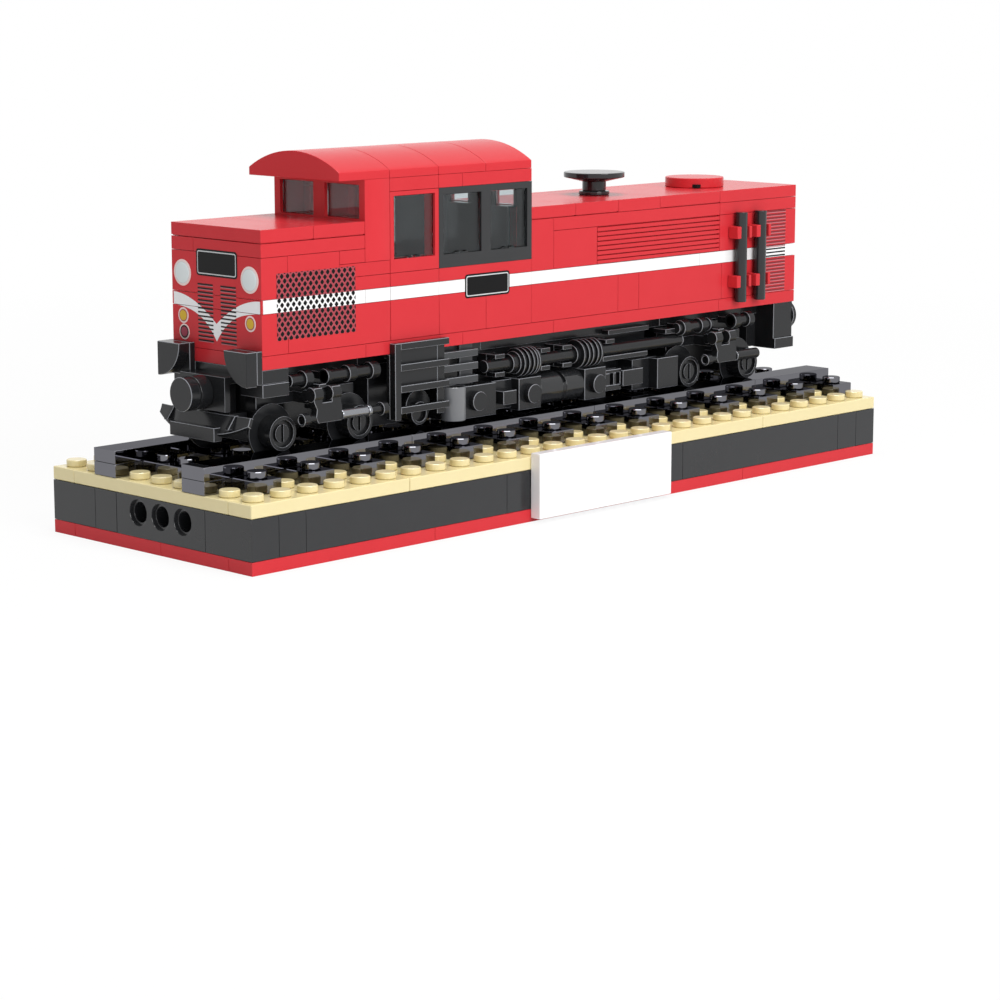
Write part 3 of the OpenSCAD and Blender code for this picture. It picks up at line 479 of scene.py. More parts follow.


# Painted highlight in rose: the pale underside of each louvre, seen as a hairline, is light painted on
# the red
louvre_highlight_paint = moulded_abs("painted_louvre_highlight", "#b4767d", "#ae7077", roughness=0.3, gloss=0.15)
LINE_PITCH = 0.93


def printed_bar(mesh, centre, size, turn):
    """A flat printed bar, turned to face outwards."""
    bmesh.ops.create_grid(mesh, x_segments=1, y_segments=1, size=0.5,
                          matrix=Matrix.Translation(centre) @ Matrix.Diagonal((*size, 1)) @ turn)


def nose_louvre_bank(name, material, thickness, drop, layer):
    """Two banks of level bars on the nose."""
    mesh = bmesh.new()
    for y in (-3.85, 4.35):
        for i in range(15):
            printed_bar(mesh, (NOSE_PRINT + layer * PRINT, y, 59.8 - i * LINE_PITCH - drop),
                        (1, 5.5, thickness), Matrix.Rotation(math.pi / 2, 4, "Y"))
    face_forward(mesh)
    return piece(name, mesh, "black_abs", material)


# The rose lines under the nose louvres are a painted highlight
nose_louvre_bank("nose_louvre_highlights", louvre_highlight_paint, 0.18, 0.3, 0.5)
nose_louvre_bank("nose_louvres", black_ink, 0.36, 0, 2)


def nose_disc(name, y, z, radius, layer, slot, material, dome=0.0, **settings):
    """A round print or lens on the nose."""
    mesh = bmesh.new()
    add_rod(mesh, (NOSE_PRINT + (layer * PRINT + dome) / 2, y, z), "x", radius, layer * PRINT + dome, 40)
    if dome:
        soften(mesh, dome * 0.9, 3)
    return piece(name, mesh, slot, material, **settings)


# Lamp prints: a pale pink ring round an amber or dark red disc, and a frosted white lens
# that is a little brighter than the ring
pink_ink = moulded_abs("pale_pink_printing_ink", "#efd9d6", "#ead1ce", roughness=0.3, gloss=0.15)
lens_white = moulded_abs("frosted_white_lens", "#e0e6e7", "#d4dcde", roughness=0.3)
amber_ink = moulded_abs("amber_printing_ink", "#d9b63a", "#cfa92f", roughness=0.3, gloss=0.15)
dark_red_ink = moulded_abs("dark_red_printing_ink", "#a03a50", "#963246", roughness=0.3, gloss=0.15)
for y, name in ((12, "left"), (-12, "right")):
    nose_disc(name + "_headlight_ring", y, 62.0, 3.1, 1, "white_abs", pink_ink, dome=0.1,
              stands_for=["headlights"] if y > 0 else ())
    nose_disc(name + "_headlight_groove", y, 62.0, 2.6, 2, "grey_abs", silver_ink, dome=0.1)
    nose_disc(name + "_headlight_lens", y, 62.0, 2.42, 3, "white_abs", lens_white, dome=0.16)
    nose_disc(name + "_lamp_ring", y, 52.0, 1.85, 2, "white_abs", pink_ink)
    nose_disc(name + "_lamp_shade", y, 52.0, 1.45, 3, "grey_abs", mesh_grey_ink)
    nose_disc(name + "_lamp", y, 52.0, 1.2, 4, "tan_abs", amber_ink)
nose_disc("marker_ring", -11.7, 48.2, 1.85, 2, "white_abs", pink_ink)
nose_disc("marker_shade", -11.7, 48.2, 1.5, 3, "black_abs", black_ink)
nose_disc("marker_lamp", -11.7, 48.2, 1.15, 4, "red_abs", dark_red_ink)


def blank_plate(name, size, turn, stands_for=()):
    """A black plate with a fine silver line inside its edge, and nothing on it."""
    width, height = size
    for part, inset, layer, slot, material in (("", 0, 2, "black_abs", black_ink),
                                               ("_line", 0.42, 3, "grey_abs", silver_ink),
                                               ("_face", 0.68, 4, "black_abs", black_ink)):
        mesh = bmesh.new()
        printed_bar(mesh, (0, 0, 0), (width - 2 * inset, height - 2 * inset, 1), Matrix.Identity(4))
        bmesh.ops.bevel(mesh, geom=mesh.verts[:], offset=0.8 - inset * 0.6, offset_type="OFFSET",
                        segments=4, profile=0.5, affect="VERTICES", clamp_overlap=True, material=-1)
        bmesh.ops.transform(mesh, matrix=turn @ Matrix.Translation((0, 0, layer * PRINT)),
                            verts=mesh.verts)
        piece(name + part, mesh, slot, material, stands_for=stands_for if not part else ())


TO_FRONT = Matrix.Rotation(math.pi / 2, 4, "Z") @ Matrix.Rotation(math.pi / 2, 4, "X")
blank_plate("front_plate", (14.6, 6.2), Matrix.Translation((NOSE_PRINT, 0.4, 64.9)) @ TO_FRONT,
            ["nose_plate"])

# ---- Cab walls ----
# Red bricks one stud thick round an open cab, with the white course running through them.
# The windows are gaps between the bricks. Thin black plates line the rear wall, painted shade
# that darkens the cab inside, and a plain control stand of the same black is pushed on to the floor.


def join_into(whole, part):
    """Adds a finished bmesh to a larger one."""
    held = bpy.data.meshes.new("held")
    part.to_mesh(held)
    part.free()
    whole.from_mesh(held)
    bpy.data.meshes.remove(held)


def bricks_of(name, node_name, rows):
    """Cuts the outline of a red CAD piece into the bricks it is laid from."""
    whole = bmesh.new()
    for low, high in rows:
        part = outline_of(node_name)
        for i, axis in enumerate("xyz"):
            keep_between(part, axis, low[i] + SEAM, high[i] - SEAM, closed=True)
        bmesh.ops.dissolve_limit(part, angle_limit=math.radians(1.5), verts=part.verts, edges=part.edges)
        bmesh.ops.recalc_face_normals(part, faces=part.faces[:])
        soften(part, BRICK_ROUND)
        join_into(whole, part)
    return piece(name, whole, "red_abs", red_abs, stands_for=[node_name])


def wall_rows(side, cuts, z0, z1):
    return course(cuts, z0, z1, *sorted((side * (12 - SEAM), side * (16 + SEAM))))


SILL_Z, BAND_Z, CAB_TOP = 19 * PLATE_H, 25 * PLATE_H, 26 * PLATE_H
bricks_of("cab_front_bricks", "cab_front_wall", [((50, -17, 20 * PLATE_H), (60, 17, CAB_TOP + 1))])
for side, name in ((1, "left"), (-1, "right")):
    rows = wall_rows(side, (51, 35, 19, CAB_REAR), HOOD_Z, STRIPE_Z0)
    rows += wall_rows(side, (51, 35, CAB_REAR), STRIPE_Z1, SILL_Z)
    rows += wall_rows(side, (51, 34.95), SILL_Z, BAND_Z)
    rows += wall_rows(side, (51, 35, 27, CAB_REAR), BAND_Z, CAB_TOP)
    bricks_of("cab_" + name + "_bricks", "cab_" + name + "_wall", rows)
    laid("white_course_cab_" + name, wall_rows(side, (51, 35, CAB_REAR), STRIPE_Z0, STRIPE_Z1),
         "white_abs", white_abs)
bricks_of("cab_rear_bricks", "cab_rear_wall", [((2, -13, HOOD_Z - 1), (8, 13, HOOD_TOP))])

# Rear windows: thin posts, sills and a lintel of red ABS, as wide as the gap between the walls
POST_X0, POST_X1, LINTEL_Z, HALF_GAP = 3.05, 3.9, 82, 11.95
SILL_Z0, SILL_Z1 = HOOD_TOP + SEAM, 73.92
posts = [((POST_X0, y0, SILL_Z0), (POST_X1, y1, LINTEL_Z))
         for y0, y1 in ((-HALF_GAP, -11.15), (-4.85, 4.85), (11.15, HALF_GAP))]
sills = [((POST_X0, y0, SILL_Z0), (POST_X1, y0 + 6.3, SILL_Z1)) for y0 in (-11.15, 4.85)]
lintel = [((POST_X0, -HALF_GAP, LINTEL_Z), (POST_X1, HALF_GAP, CAB_TOP - SEAM))]
laid("cab_rear_window_bricks", posts + sills + lintel, "red_abs", red_abs, gap=0.0)
refined("cab_floor_plate", "cab_floor", "red_abs", red_abs)

# Painted shade: black plates on the rear wall's inside, and thin black sheets on the side walls beside
# them, darken the view into the cab
SHADE_LINING_X0, SHADE_LINING_X1, SHADE_LINING_Z = 4.4, 7.8, 73.8
shade_lining_and_stand = bmesh.new()
add_block(shade_lining_and_stand, (7.02, -11.9, 51.3), (SHADE_LINING_X1, 11.9, SHADE_LINING_Z))
add_block(shade_lining_and_stand, (SHADE_LINING_X0, -11.9, HOOD_TOP), (7.02, 11.9, SHADE_LINING_Z))
add_block(shade_lining_and_stand, (SHADE_LINING_X0, -11.9, LINTEL_Z), (SHADE_LINING_X0 + 0.6, 11.9, 83.1))
for y0, y1 in ((-11.9, -11.3), (-4.7, 4.7), (11.3, 11.9)):
    add_block(shade_lining_and_stand, (SHADE_LINING_X0, y0, SHADE_LINING_Z), (SHADE_LINING_X0 + 0.6, y1, LINTEL_Z))
for side in (-1, 1):
    add_block(shade_lining_and_stand, (4.7, side * 11.98 - 0.02, 64.1), (SHADE_LINING_X1, side * 11.98 + 0.02, SHADE_LINING_Z))
# Control stand
add_block(shade_lining_and_stand, (21.5, -5, 48.5), (29.5, 5, 78.8))
soften(shade_lining_and_stand, BRICK_ROUND)
piece("cab_shade_lining_and_stand", shade_lining_and_stand, "black_abs", black_abs)
TO_LEFT = Matrix.Rotation(math.pi, 4, "Z") @ Matrix.Rotation(math.pi / 2, 4, "X")
TO_RIGHT = Matrix.Rotation(math.pi / 2, 4, "X")
blank_plate("left_cab_plate", (15.4, 5.8), Matrix.Translation((18.6, SIDE_Y, 55.7)) @ TO_LEFT)
blank_plate("right_cab_plate", (15.4, 5.8), Matrix.Translation((18.6, -SIDE_Y, 55.7)) @ TO_RIGHT)

# ---- Cab windows ----
# Black double frames in the side walls, and clear panes set back in every opening.
# Each side pane has two small lugs at its foot that snap into the frame.
refined("left_double_frame", "left_window_frame", "black_abs", black_abs)
refined("right_double_frame", "right_window_frame", "black_abs", black_abs)
# Clear polycarbonate: see-through with a weak reflection and a trace of haze
clear_pane = bpy.data.materials.new("clear_polycarbonate")
clear_pane.use_nodes = True
tree = clear_pane.node_tree
pane_skin = tree.nodes["Principled BSDF"]
place = node(tree, "ShaderNodeTexCoord")
drift = node(tree, "ShaderNodeTexNoise", {"Vector": place.outputs["Object"], "Scale": 1 / (7 * MM)})
tone = node(tree, "ShaderNodeMix", {0: drift.outputs["Fac"], 6: linear("#dde2e4"), 7: linear("#d6dcde")},
             data_type="RGBA")
tree.links.new(tone.outputs[2], pane_skin.inputs["Base Color"])
haze = node(tree, "ShaderNodeMapRange", {"Value": drift.outputs["Fac"], "To Min": 0.01, "To Max": 0.05})
tree.links.new(haze.outputs[0], pane_skin.inputs["Roughness"])
pane_skin.inputs["Transmission Weight"].default_value = 1.0
pane_skin.inputs["Specular Tint"].default_value = linear("#a2a6a8")
pane_skin.inputs["IOR"].default_value = 1.58
PANE_Y, LUG_Y, PANE_Z0 = 15.1, 15.6, 64.05
END_PANE_Z0, END_PANE_Z1 = 73.97, 81.87
panes = bmesh.new()
for side in (-1, 1):
    for x, half, top in ((43, 6.67, 78.85), (11, 6.35, 78.35), (27, 6.35, 78.35)):
        add_block(panes, (x - half, side * PANE_Y - 0.3, PANE_Z0), (x + half, side * PANE_Y + 0.3, top))
        for lug_x in (x - 1.3, x + 1.3):
            add_block(panes, (lug_x - 0.7, side * LUG_Y - 0.2, PANE_Z0 - 0.03),
                      (lug_x + 0.7, side * LUG_Y + 0.2, 64.6))
    for x0, half in ((57.5, 5.95), (3.8, 3.15)):
        add_block(panes, (x0, side * 8 - half, END_PANE_Z0), (x0 + 0.6, side * 8 + half, END_PANE_Z1))
soften(panes, 0.12)
piece("window_panes", panes, "clear_polycarbonate", clear_pane, stands_for=["cab_glass"])

# ---- Cab roof ----
# Four arched bricks of red ABS side by side, pushed on to the cab's top course. The first
# stands out over the front windows.
refined("cab_roof_bricks", "cab_roof", "red_abs", red_abs)

# ---- Long hood ----
# Red bricks and plates behind the cab, with the white course right along them and louvred
# bricks under the top plates.
long_rows = course((CAB_REAR, -29, -37, -70, TAIL_X), HOOD_Z, STRIPE_Z0)
long_rows += course((CAB_REAR, -5), STRIPE_Z1, SLAB_Z)
long_rows += course((-5, -21, -69, TAIL_X), STRIPE_Z1, 21 * PLATE_H)
long_rows += course((-5, -69, TAIL_X), 21 * PLATE_H, SLAB_Z)
bricks_of("long_hood_bricks", "long_hood", long_rows)
laid("white_course_rear", course((CAB_REAR, -61, TAIL_X), STRIPE_Z0, STRIPE_Z1), "white_abs", white_abs)
tiled("long_hood_tiles", (CAB_REAR, -13, -29, -45, -69, TAIL_X), (CAB_REAR, -13, -45),
      ["long_hood_roof"])

# Louvred bricks: seven slats that lean out at the foot, moulded with the brick
SLAT_X0, SLAT_X1, SLAT_Z0, SLAT_PITCH = -68.9, -21.1, 57.7, 1.2
slats = bmesh.new()
for side in (-1, 1):
    y0, y1 = sorted((side * 14.45, side * 15.1))
    add_block(slats, (SLAT_X0, y0, SLAT_Z0), (SLAT_X1, y1, 67.15))
    y0, y1 = sorted((side * 14.6, side * SIDE_Y))
    add_block(slats, (SLAT_X0, y0, SLAT_Z0), (SLAT_X1, y1, SLAT_Z0 + 0.85))
    for i in range(7):
        z0 = SLAT_Z0 + 1.05 + i * SLAT_PITCH
        for vert in add_block(slats, (SLAT_X0, y0, z0), (SLAT_X1, y1, z0 + 0.95)):
            if abs(vert.co.y) < 15 and vert.co.z < z0 + 0.5:
                vert.co.z += 0.5
soften(slats, 0.1)
piece("louvre_bricks", slats, "red_abs", red_abs, stands_for=["louvre_panels"])

# Printed vents near the rear end: black lines across the white course, and a dark brown
# printed line over a rose hairline on the red, which is a painted highlight
VENT_X, VENT_L, VENT_TOP = -92.65, 8.1, 66.9
brown_ink = moulded_abs("brown_red_printing_ink", "#7a2a30", "#74262c", roughness=0.3, gloss=0.15)
# The pale lines under the dark ones on the red are a painted highlight
for name, material, drop, thickness in (("dark", brown_ink, 0, 0.4), ("pale", louvre_highlight_paint, 0.38, 0.2),
                                        ("black", black_ink, 0, 0.4)):
    vents = bmesh.new()
    for i in range(24):
        z = VENT_TOP - i * LINE_PITCH
        on_white = STRIPE_Z0 < z < STRIPE_Z1
        if on_white == (name == "black"):
            for side in (-1, 1):
                printed_bar(vents, (VENT_X, side * (SIDE_Y - SEAM + PRINT), z - drop),
                            (VENT_L, 1, thickness), Matrix.Rotation(side * -math.pi / 2, 4, "X"))
    piece("rear_vent_" + name + "_lines", vents, "black_abs", material)

# ---- Roof fittings ----
# A black dish on a round stem, and a red round plate with one dark notch at its edge, both
# pushed on to the top plates. The notch's darkness is painted shade, a black block at the edge.
DISH_X, ROUND_X = -37, -77
dish = bmesh.new()
add_rod(dish, (DISH_X, 0, HOOD_TOP + 0.5), "z", 4.0, 1.0, 40)
add_rod(dish, (DISH_X, 0, HOOD_TOP + 2.5), "z", 3.1, 3.0, 40)
add_rod(dish, (DISH_X, 0, HOOD_TOP + 3.95), "z", 3.1, 1.1, 48, tip=7.7)
add_rod(dish, (DISH_X, 0, HOOD_TOP + 5.2), "z", 7.95, 1.4, 48)
soften(dish, 0.22)
piece("roof_dish_round", dish, "black_abs", black_abs, stands_for=["roof_dish"])
round_plate = bmesh.new()
add_rod(round_plate, (ROUND_X, 0, HOOD_TOP + 1.3), "z", 7.9, 2.6, 48)
soften(round_plate, 0.25)
piece("roof_round_plate", round_plate, "red_abs", red_abs, stands_for=["roof_vent"])
# Painted shade: a black block that shows at the plate's edge as the dark of the notch
notch_shade = bmesh.new()
add_block(notch_shade, (ROUND_X + 4.72, 4.72, HOOD_TOP + 0.1), (ROUND_X + 6.32, 6.32, HOOD_TOP + 1))
piece("roof_notch_painted_shade", notch_shade, "black_abs", black_ink)

# ---- Hand rails ----
# Two upright black rods on each side near the rear, plain bars of ABS. Each one snaps into
# two red clips on the body's side.
HAND_RAIL_X, CLIP_Z = (-75.8, -83.8), (47.7, 60.8)
HAND_RAIL_Y, BAR_R = SIDE_Y + 1.8, 1.6
rods, clips = bmesh.new(), bmesh.new()
for side in (-1, 1):
    for x in HAND_RAIL_X:
        add_rod(rods, (x, side * HAND_RAIL_Y, 55.7), "z", BAR_R, 24, 24)
        for z in CLIP_Z:
            y0, y1 = sorted((side * (SIDE_Y - 0.1), side * (SIDE_Y + 0.25)))
            add_block(clips, (x - 2.7, y0, z), (x + 2.7, y1, z + PLATE_H))
            y0, y1 = sorted((side * (SIDE_Y + 0.1), side * (HAND_RAIL_Y + 1.5)))
            for x0, x1 in ((x - 2.7, x - 1.68), (x + 1.68, x + 3.3)):
                add_block(clips, (x0, y0, z), (x1, y1, z + PLATE_H))
soften(rods, 0.15)
soften(clips, 0.2)
piece("hand_rail_rods", rods, "black_abs", black_abs, stands_for=["hand_rails"])
piece("hand_rail_clips_red", clips, "red_abs", red_abs, stands_for=["hand_rail_clips"])

# ---- Underframe ----
# Black ABS pieces under the footplate: a long beam, and the carrier that the tanks and boxes
# are pushed on to. Their crisp edges catch the light as pale lines, which are painted on:
# each outer edge has a narrow face of its own in pale grey, a painted highlight.
# Painted edge highlight: a hairline of mid grey for light on the edges. Running-gear black: deeper and
# duller than the bricks
edge_highlight = moulded_abs("painted_edge_highlight", "#85878d", "#7d7f85", roughness=0.25)
running_black = moulded_abs("black_running_gear_abs", "#1f2022", "#1a1b1d", roughness=0.22, gloss=0.3)


def black_piece(name, mesh, stands_for=(), body=BODY, round_off=0.13, sharper_than=50):
    """A black piece with a pale line along each outer edge, painted on as a highlight."""
    soften(mesh, round_off, 1, sharper_than, pale=True)
    return piece(name, mesh, "black_abs", running_black, edge_highlight, body=body, stands_for=stands_for)


def lined(node_name, body=BODY):
    """A black CAD piece with pale edges, painted on as highlights."""
    return black_piece(node_name + "_piece", outline_of(node_name), [node_name], body)


def mirrored(mesh):
    """Repeats on the right what is drawn on the left."""
    bmesh.ops.mirror(mesh, geom=mesh.verts[:] + mesh.edges[:] + mesh.faces[:], axis="Y")
    bmesh.ops.recalc_face_normals(mesh, faces=mesh.faces[:])


UNDER_Z, CARRIER_Y = FOOT_Z - PLATE_H, 7.9
beam = bmesh.new()
for x0, x1 in ((56, 83), (14.6, 56), (-52.4, 14.6), (-93, -52.4)):
    add_block(beam, (x0, -9.6, UNDER_Z), (x1, 9.6, FOOT_Z), SEAM)
black_piece("underframe_beam", beam, ["underframe"])
carrier = bmesh.new()
add_block(carrier, (-48.5, -CARRIER_Y, 23.2), (51.1, CARRIER_Y, UNDER_Z))
black_piece("equipment_carrier_block", carrier, ["equipment_carrier"])

# ---- Front end ----
# Black angle brackets hold quarter-round buffers. Between them hangs a square plate with
# a thick coupling disc on it.
ANGLE_X0, ANGLE_Z = NOSE_X - STUD_PITCH, 38.4
angles = bmesh.new()
add_block(angles, (NOSE_X, 8, ANGLE_Z), (NOSE_X + 1.6, SIDE_Y, 46.08))
add_block(angles, (ANGLE_X0, 8, ANGLE_Z), (NOSE_X, 15.85, FOOT_Z))
add_block(angles, (ANGLE_X0, 8, 35.24), (NOSE_X, SIDE_Y, ANGLE_Z - 0.1))
mirrored(angles)
black_piece("front_angle_brackets", angles, ["front_brackets"])

# The buffers' outer corners stay plain, and only the other edges carry the pale painted highlight
buffers = outline_of("front_buffers")
soften(buffers, 0.13, 1, 89, pale=True)
buffers.normal_update()
for face in buffers.faces:
    if abs(face.normal.z) < 0.1 and face.normal.y * face.calc_center_median().y > 0:
        face.material_index = 0
piece("front_buffer_quarters", buffers, "black_abs", running_black, edge_highlight,
      stands_for=["front_buffers"])
lined("coupler_bracket")
COUPLER_Z = 35.68
disc = bmesh.new()
add_rod(disc, (100.7, 0, COUPLER_Z), "x", 4, 2.6, 48)
black_piece("coupling_disc", disc, ["front_coupler"], sharper_than=60)
stem = bmesh.new()
add_rod(stem, (99.2, 0, COUPLER_Z), "x", 3.75, 0.5, 48)
add_rod(stem, (97.3, 0, COUPLER_Z), "x", 4, 3.4, 48)
soften(stem, 0.15)
piece("coupling_stem", stem, "black_abs", running_black)

# ---- Plough ----
# A black blade in front of the wheels: a low straight strip, a hollow face that leans back,
# and wings whose lower edge sweeps up. Ribs stand on the wings.
PLOUGH_Z, PLOUGH_TOP, WING_Y = 25.2, 31.3, 8
blade = bmesh.new()
bmesh.ops.create_grid(blade, x_segments=32, y_segments=6, size=0.5)
for vert in blade.verts:
    y, up = vert.co.x * 2 * SIDE_Y, vert.co.y + 0.5
    out = max(0.0, (abs(y) - WING_Y) / (SIDE_Y - WING_Y))
    low_x, low_z = 98.2 - 2.6 * out, 27.0 + 2.3 * out ** 1.6
    top_x, top_z = 95.6 - 0.8 * out, PLOUGH_TOP - 0.1
    vert.co = (low_x + (top_x - low_x) * up ** 0.75, y, low_z + (top_z - low_z) * up)
face_forward(blade)
bmesh.ops.solidify(blade, geom=blade.faces[:], thickness=1.1)
bmesh.ops.recalc_face_normals(blade, faces=blade.faces[:])
black_piece("plough_blade", blade, ["plough"], round_off=0.12)
ribs = bmesh.new()
add_block(ribs, (96.6, -WING_Y, PLOUGH_Z), (99, WING_Y, PLOUGH_Z + PLATE_H))
for y in (11, -11):
    for vert in add_block(ribs, (95, y - 0.6, 28.2), (97.9, y + 0.6, PLOUGH_TOP)):
        if vert.co.z > 30:
            vert.co.x = 94.6 if vert.co.x < 96 else 95.6
black_piece("plough_strip_and_ribs", ribs, round_off=0.12)
arm = bmesh.new()
ARM_X = 88.9
add_block(arm, (ARM_X, -CARRIER_Y, PLOUGH_TOP - 1.6), (95.4, CARRIER_Y, PLOUGH_TOP - 0.2))
add_block(arm, (ARM_X, -4, PLOUGH_TOP - 3.2), (ARM_X + 2, 4, 38))
soften(arm, 0.12)
piece("plough_arm", arm, "black_abs", running_black)

# ---- Rear end ----
# Black ABS bricks close the rear end under the footplate. A round buffer is pushed on to
# them on each side.
BUFFER_RISE, BUFFER_SHORT = 0.7, 0.8
lined("rear_beam")
buffers = outline_of("rear_buffers")
face_x = min(vert.co.x for vert in buffers.verts)
for vert in buffers.verts:
    vert.co.z += BUFFER_RISE
    if vert.co.x < face_x + 0.5:
        vert.co.x += BUFFER_SHORT
black_piece("rear_buffer_discs", buffers, ["rear_buffers"])
filler = bmesh.new()
add_block(filler, (-93, -9, 29.4), (-89.2, 9, FOOT_Z))
soften(filler, 0.12)
piece("rear_beam_filler", filler, "black_abs", running_black)

# ---- Ladders and steps ----
# A black ladder stands at the cab's front corner on each side: four flat rungs before a
# back plate, on thin posts. Three step bars follow it.
LADDER_X0, LADDER_X1, LADDER_FOOT, LADDER_TOP, RUNG_PITCH = 33.7, 49.5, 25.8, 44.2, 5.12
ladders = bmesh.new()
add_block(ladders, (LADDER_X1, SIDE_Y, LADDER_FOOT), (51.45, SIDE_Y + 2, LADDER_TOP))
add_block(ladders, (LADDER_X1, SIDE_Y - 1.2, LADDER_FOOT), (51.45, SIDE_Y, 41.5))
add_block(ladders, (36, SIDE_Y, 33), (LADDER_X1, SIDE_Y + 0.3, LADDER_TOP - 0.6))
add_block(ladders, (LADDER_X0, SIDE_Y, LADDER_FOOT), (36.2, SIDE_Y + 0.5, LADDER_TOP - 1))
for i in range(4):
    rung_top = LADDER_TOP - i * RUNG_PITCH
    add_block(ladders, (LADDER_X0 - 0.2, SIDE_Y + 0.3, rung_top - 1.6),
              (LADDER_X1 + 0.1, SIDE_Y + 2, rung_top))
mirrored(ladders)
black_piece("cab_ladders", ladders, ["ladders"])

# Lighter black ABS: a shade lighter and flatter than the other black pieces
step_black = moulded_abs("lighter_black_abs", "#37393c", "#323437", roughness=0.3, gloss=0.4)
STEP_X0, STEP_X1, STEP_TOP = 21.5, 47.5, 41.5
steps = bmesh.new()
for z in (39.3, 36.1, 32.9):
    add_block(steps, (STEP_X0, 14, z - 0.85), (STEP_X1, 15.8, z + 0.85))
add_block(steps, (STEP_X0 + 0.1, 12.8, 31.4), (26, 13.9, STEP_TOP))
add_block(steps, (36, 12.8, 31.4), (STEP_X1, 13.9, STEP_TOP))
add_block(steps, (STEP_X0 + 0.5, 9.6, 39.6), (STEP_X1, 12.8, STEP_TOP))
mirrored(steps)
# The pale rounds on the step bars are a painted edge highlight
soften(steps, 0.13, 1, 50, pale=True)
piece("cab_step_bars", steps, "black_abs", step_black, edge_highlight, stands_for=["step_bars"])

# ---- Sand cups ----
# A small open cup of grey ABS behind each ladder, with a thin wall. It stands upright
# below the step bars.
# Grey ABS: mid grey with a clear highlight down the round side
grey_abs = moulded_abs("grey_moulded_abs", "#74767a", "#6f7175")


def hollow(mesh, rod, toward, wall, depth):
    """Sinks a recess into the round end of a rod that faces a direction."""
    mesh.normal_update()
    ends = [face for vert in rod for face in vert.link_faces if len(face.verts) > 4]
    end = max(ends, key=lambda face: face.normal.dot(Vector(toward)))
    bmesh.ops.inset_individual(mesh, faces=[end], thickness=wall, use_even_offset=True)
    floor_face = bmesh.ops.extrude_discrete_faces(mesh, faces=[end])["faces"][0]
    bmesh.ops.translate(mesh, vec=Vector(toward) * -depth, verts=floor_face.verts)


cups = bmesh.new()
hollow(cups, add_rod(cups, (29.2, 14.8, 27.4), "z", 3.1, 8.3, 40), (0, 0, 1), 0.4, 6)
mirrored(cups)
soften(cups, 0.12, 1, 60)
piece("sand_cups", cups, "grey_abs", grey_abs, stands_for=["sand_pots"])

# ---- Air pipes ----
# A long black rod on each side with a collar at its rear end, held in open clips. Two
# ribbed cylinders sit on it.
PIPE_Y, PIPE_Z = 13, 34.9
pipes = bmesh.new()
add_rod(pipes, (-19.9, PIPE_Y, PIPE_Z), "x", BAR_R, 73.8, 24)
add_rod(pipes, (-56.4, PIPE_Y, PIPE_Z), "x", BAR_R + 0.15, 0.5, 24)
for stud_end, ribs_x in ((8.6, (5.6, 3.9, 2.3, 1.0, 0.1)), (-14.6, (-16.2, -18, -19.5, -21.3, -22.7))):
    last_rib = ribs_x[-1]
    add_rod(pipes, (stud_end - 1, PIPE_Y, PIPE_Z), "x", 2.4, 2, 32)
    add_rod(pipes, ((stud_end + last_rib) / 2 - 1, PIPE_Y, PIPE_Z), "x",
            2.9, stud_end - last_rib - 2, 32)
    for x in ribs_x:
        add_rod(pipes, (x, PIPE_Y, PIPE_Z), "x", 3.7, 0.7, 40)
mirrored(pipes)
black_piece("air_pipe_rods", pipes, ["air_pipes"], sharper_than=60)
clips = bmesh.new()
for x in (12.4, -3.9, -11.9, -28):
    add_block(clips, (x - 1.7, CARRIER_Y, PIPE_Z - 2.8), (x + 1.7, 11.2, PIPE_Z + 2.8))
    for z in (PIPE_Z - 2.8, PIPE_Z + 1.7):
        add_block(clips, (x - 1.7, 11.1, z), (x + 1.7, 14.4, z + 1.1))
add_block(clips, (-42.3, 9, 32.2), (-25, 14.6, 33.4))
add_block(clips, (-45.6, 9.6, 38.4), (-29.8, 12, 39.6))
add_block(clips, (-55, 9.6, 36.9), (-50, 14, 38.2))
mirrored(clips)
black_piece("air_pipe_clips", clips, ["pipe_clips"])

# ---- Tanks and boxes ----
# Round tanks between square brackets with a stud on each face, and black boxes in front of
# and behind them. A slot is cut over the middle of each tank, and two through one box.
TANK_Y, TANK_Z, TANK_R, SLOT_X = 12, 27.2, 4, -9.4
tanks = bmesh.new()
add_rod(tanks, (-13.25, TANK_Y, TANK_Z), "x", TANK_R, 6.5, 48)
add_rod(tanks, (-4.75, TANK_Y, TANK_Z), "x", TANK_R, 8.1, 48)
add_rod(tanks, (SLOT_X, TANK_Y, TANK_Z), "x", 3.2, 3, 48)
under = bmesh.new()
add_rod(under, (SLOT_X, TANK_Y, TANK_Z), "x", TANK_R - 0.02, 1.2, 48)
keep_between(under, "z", 20, 28.6, closed=True)
for part in (tanks, under):
    mirrored(part)
    soften(part, 0.1)
piece("fuel_tank_drums", tanks, "black_abs", black_abs, stands_for=["fuel_tanks"])
piece("fuel_tank_bands", under, "black_abs", running_black)
brackets = bmesh.new()
for x in (-0.6, -24.6):
    add_block(brackets, (x, CARRIER_Y, TANK_Z - 4), (x + 8, SIDE_Y, TANK_Z + 4), 0.02)
    add_rod(brackets, (x + 4, SIDE_Y + 0.8, TANK_Z), "y", 2.4, 1.8, 32)
mirrored(brackets)
black_piece("tank_end_brackets", brackets, ["tank_brackets"])

boxes = bmesh.new()
add_rod(boxes, (38.8, 10.2, 27.4), "y", 4.1, 4.6, 40)
hollow(boxes, add_rod(boxes, (39.8, 13.3, 26), "y", 2.8, 1.8, 32), (0, 1, 0), 0.7, 1)
add_block(boxes, (15.5, CARRIER_Y, TANK_Z - 4), (31.5, SIDE_Y, TANK_Z + 4))
add_rod(boxes, (22.7, SIDE_Y + 0.8, TANK_Z + 0.2), "y", 2.4, 1.8, 32)
add_block(boxes, (7.4, CARRIER_Y, TANK_Z - 3.4), (15.4, 13.4, TANK_Z + 3.8))
add_block(boxes, (9.3, 12, TANK_Z - 1.8), (14, SIDE_Y + 1.1, TANK_Z + 1.6))
